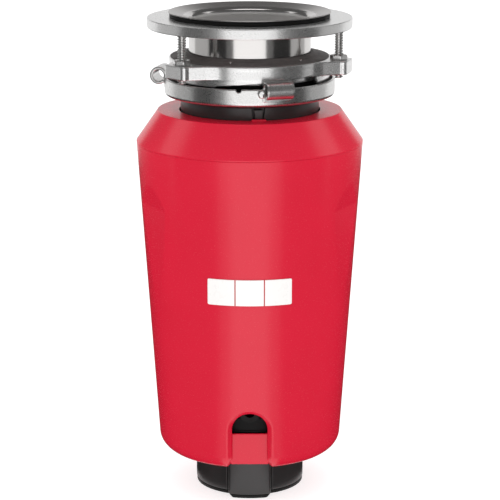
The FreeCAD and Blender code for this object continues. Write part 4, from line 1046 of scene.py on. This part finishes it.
# cloths on the floor that only reflections see: name, inner and outer radius, turns, lightness
FLAGS = (
    ("foot_flag", 0.045, 0.105, 26, 176, 0.02),
    ("near_grey_flag", 0.105, 0.8, 20, 32, 0.45),
    ("near_dark_flag", 0.105, 0.8, 32, 178, 0.008),
    ("mid_flag", 0.8, 1.16, 84, 178, 0.02),
    ("far_grey_flag", 0.8, 8.8, 30, 44, 0.12),
    ("far_dark_flag", 0.8, 8.8, 44, 82, 0.01),
    ("far_pale_flag", 1.16, 8.8, 82, 124, 0.42),
    ("far_back_flag", 1.16, 8.8, 124, 178, 0.82),
)

# soft lights: name, place, aim, width, height, radiance, shown in reflections, lights matt surfaces
SOFTBOXES = (
    ("back_card", (0, 3.0, 0.9), (0, 0, 0.3), 4.0, 1.5, 0.72, True, False),
    ("rim_box_-1", (-1.9, 0.4, 1.7), (0, 0, 0.3), 0.9, 0.7, 0.9, True, False),
    ("rim_box_1", (1.9, 0.4, 1.7), (0, 0, 0.3), 0.9, 0.7, 0.9, True, False),
    ("side_box_-1", (-1.3, 0.75, 0.75), (0, 0, 0.25), 0.9, 0.9, 0.95, False, True),
    ("side_box_1", (1.3, 0.75, 0.75), (0, 0, 0.25), 0.9, 0.9, 0.95, False, True),
    ("top_box", (0, 0, 2.2), (0, 0, 0.3), 1.2, 1.2, 1.0, True, True),
    ("zenith_card", (0, 0, 1.9), (0, 0, 0.3), 0.8, 0.8, 1.4, True, False),
    ("front_box", (0, -2.2, 1.2), (0, 0, 0.2), 1.0, 0.9, 0.6, False, True),
)
WORLD_LIGHT, WORLD_REFLECTION = 1.1, 0.12

CAMERA_PLACE, CAMERA_TILT = (0.0002, -1.400, 0.5183), 13.87
CAMERA_LENS, CAMERA_SENSOR = 144.1, 36.0


def plain_material(name, shade, roughness):
    """Matt grey with a faint drift in its shade."""
    made = Surface(name, (shade, shade, shade), roughness)
    made.vary_colour(made.noise(3, 2), (shade * 0.985, shade * 0.985, shade * 0.985))
    return made.material


def flat_piece(name, corners, material):
    """A staged flat polygon."""
    mesh = bpy.data.meshes.new(name)
    mesh.from_pydata(corners, [], [tuple(range(len(corners)))])
    made = bpy.data.objects.new(name, mesh)
    made.data.materials.append(material)
    bpy.context.scene.collection.objects.link(made)
    return made


def make_floor():
    """Plain pale floor that glows a little, so that contact shadows stay faint."""
    paper = plain_material("floor_paper", FLOOR_SHADE, 0.9)
    glow = paper.node_tree.nodes["Principled BSDF"]
    glow.inputs["Emission Color"].default_value = (1, 1, 1, 1)
    glow.inputs["Emission Strength"].default_value = FLOOR_GLOW
    half = FLOOR_HALF
    flat_piece("floor", [(-half, -half, 0), (half, -half, 0), (half, half, 0), (-half, half, 0)], paper)


def make_flags():
    """The cloths, each on the left and on the right."""
    for label, inner, outer, start, stop, shade in FLAGS:
        cloth = plain_material(label + "_cloth", shade, 1.0)
        for side, name in ((-1, label + "_left"), (1, label + "_right")):
            steps_out = range(start, stop + 1, CLOTH_STEP)
            edge = [(inner, turn) for turn in steps_out] + [(outer, turn) for turn in reversed(steps_out)]
            corners = [(*polar(radius, side * turn), CLOTH_LEVEL) for radius, turn in edge]
            flag = flat_piece(name, corners, cloth)
            for ray in ("camera", "diffuse", "transmission", "volume_scatter", "shadow"):
                setattr(flag, f"visible_{ray}", False)


def softbox(name, place, target, width, height, radiance, glossy, diffuse):
    """A rectangular light of a given radiance, out of the camera's sight."""
    light = bpy.data.lights.new(name, "AREA")
    light.shape = "RECTANGLE"
    light.size, light.size_y = width, height
    light.energy = radiance * math.pi * width * height
    made = bpy.data.objects.new(name, light)
    made.location = place
    made.rotation_mode = "QUATERNION"
    made.rotation_quaternion = (Vector(target) - Vector(place)).to_track_quat("-Z", "Y")
    made.visible_camera = False
    made.visible_glossy = glossy
    made.visible_diffuse = diffuse
    bpy.context.scene.collection.objects.link(made)


def make_world():
    """Even white surroundings, dimmer in reflections."""
    world = bpy.data.worlds.new("studio")
    world.use_nodes = True
    tree = world.node_tree
    background = tree.nodes["Background"]
    background.inputs["Color"].default_value = (1, 1, 1, 1)
    path = tree.nodes.new("ShaderNodeLightPath")
    level = tree.nodes.new("ShaderNodeMapRange")
    level.inputs["To Min"].default_value = WORLD_LIGHT
    level.inputs["To Max"].default_value = WORLD_REFLECTION
    tree.links.new(path.outputs["Is Glossy Ray"], level.inputs["Value"])
    tree.links.new(level.outputs["Result"], background.inputs["Strength"])
    bpy.context.scene.world = world


def make_camera():
    """Long lens from the front, looking a little down."""
    camera = bpy.data.cameras.new("camera")
    camera.lens = CAMERA_LENS
    camera.sensor_width = CAMERA_SENSOR
    camera.clip_start, camera.clip_end = 0.05, 60.0
    made = bpy.data.objects.new("camera", camera)
    made.location = CAMERA_PLACE
    made.rotation_euler = (math.radians(90 - CAMERA_TILT), 0, 0)
    bpy.context.scene.collection.objects.link(made)
    bpy.context.scene.camera = made


# ---------------- everything

make_camera()
make_world()
for box in SOFTBOXES:
    softbox(*box)
make_floor()
make_flags()
for skinned_node, skinned_name, *grid in SKINNED:
    wear(skin(skinned_name, *grid), skinned_node)
for turned_node, turned_name, *outline in TURNED:
    wear(turned(turned_name, *outline), turned_node)
make_shoulder()
for screw_number, screw_turn in enumerate(EAR_TURNS, start=1):
    make_screw(screw_number, screw_turn)
make_nuts()
make_studs()
make_elbow()
make_inlet()
for node, shown in frame["nodes"].items():
    shown.data.materials.clear()
    shown.data.materials.append(MATERIALS[SLOT_OF[node]])

scene = bpy.context.scene
scene.view_settings.view_transform = "Standard"
scene.cycles.use_denoising = True
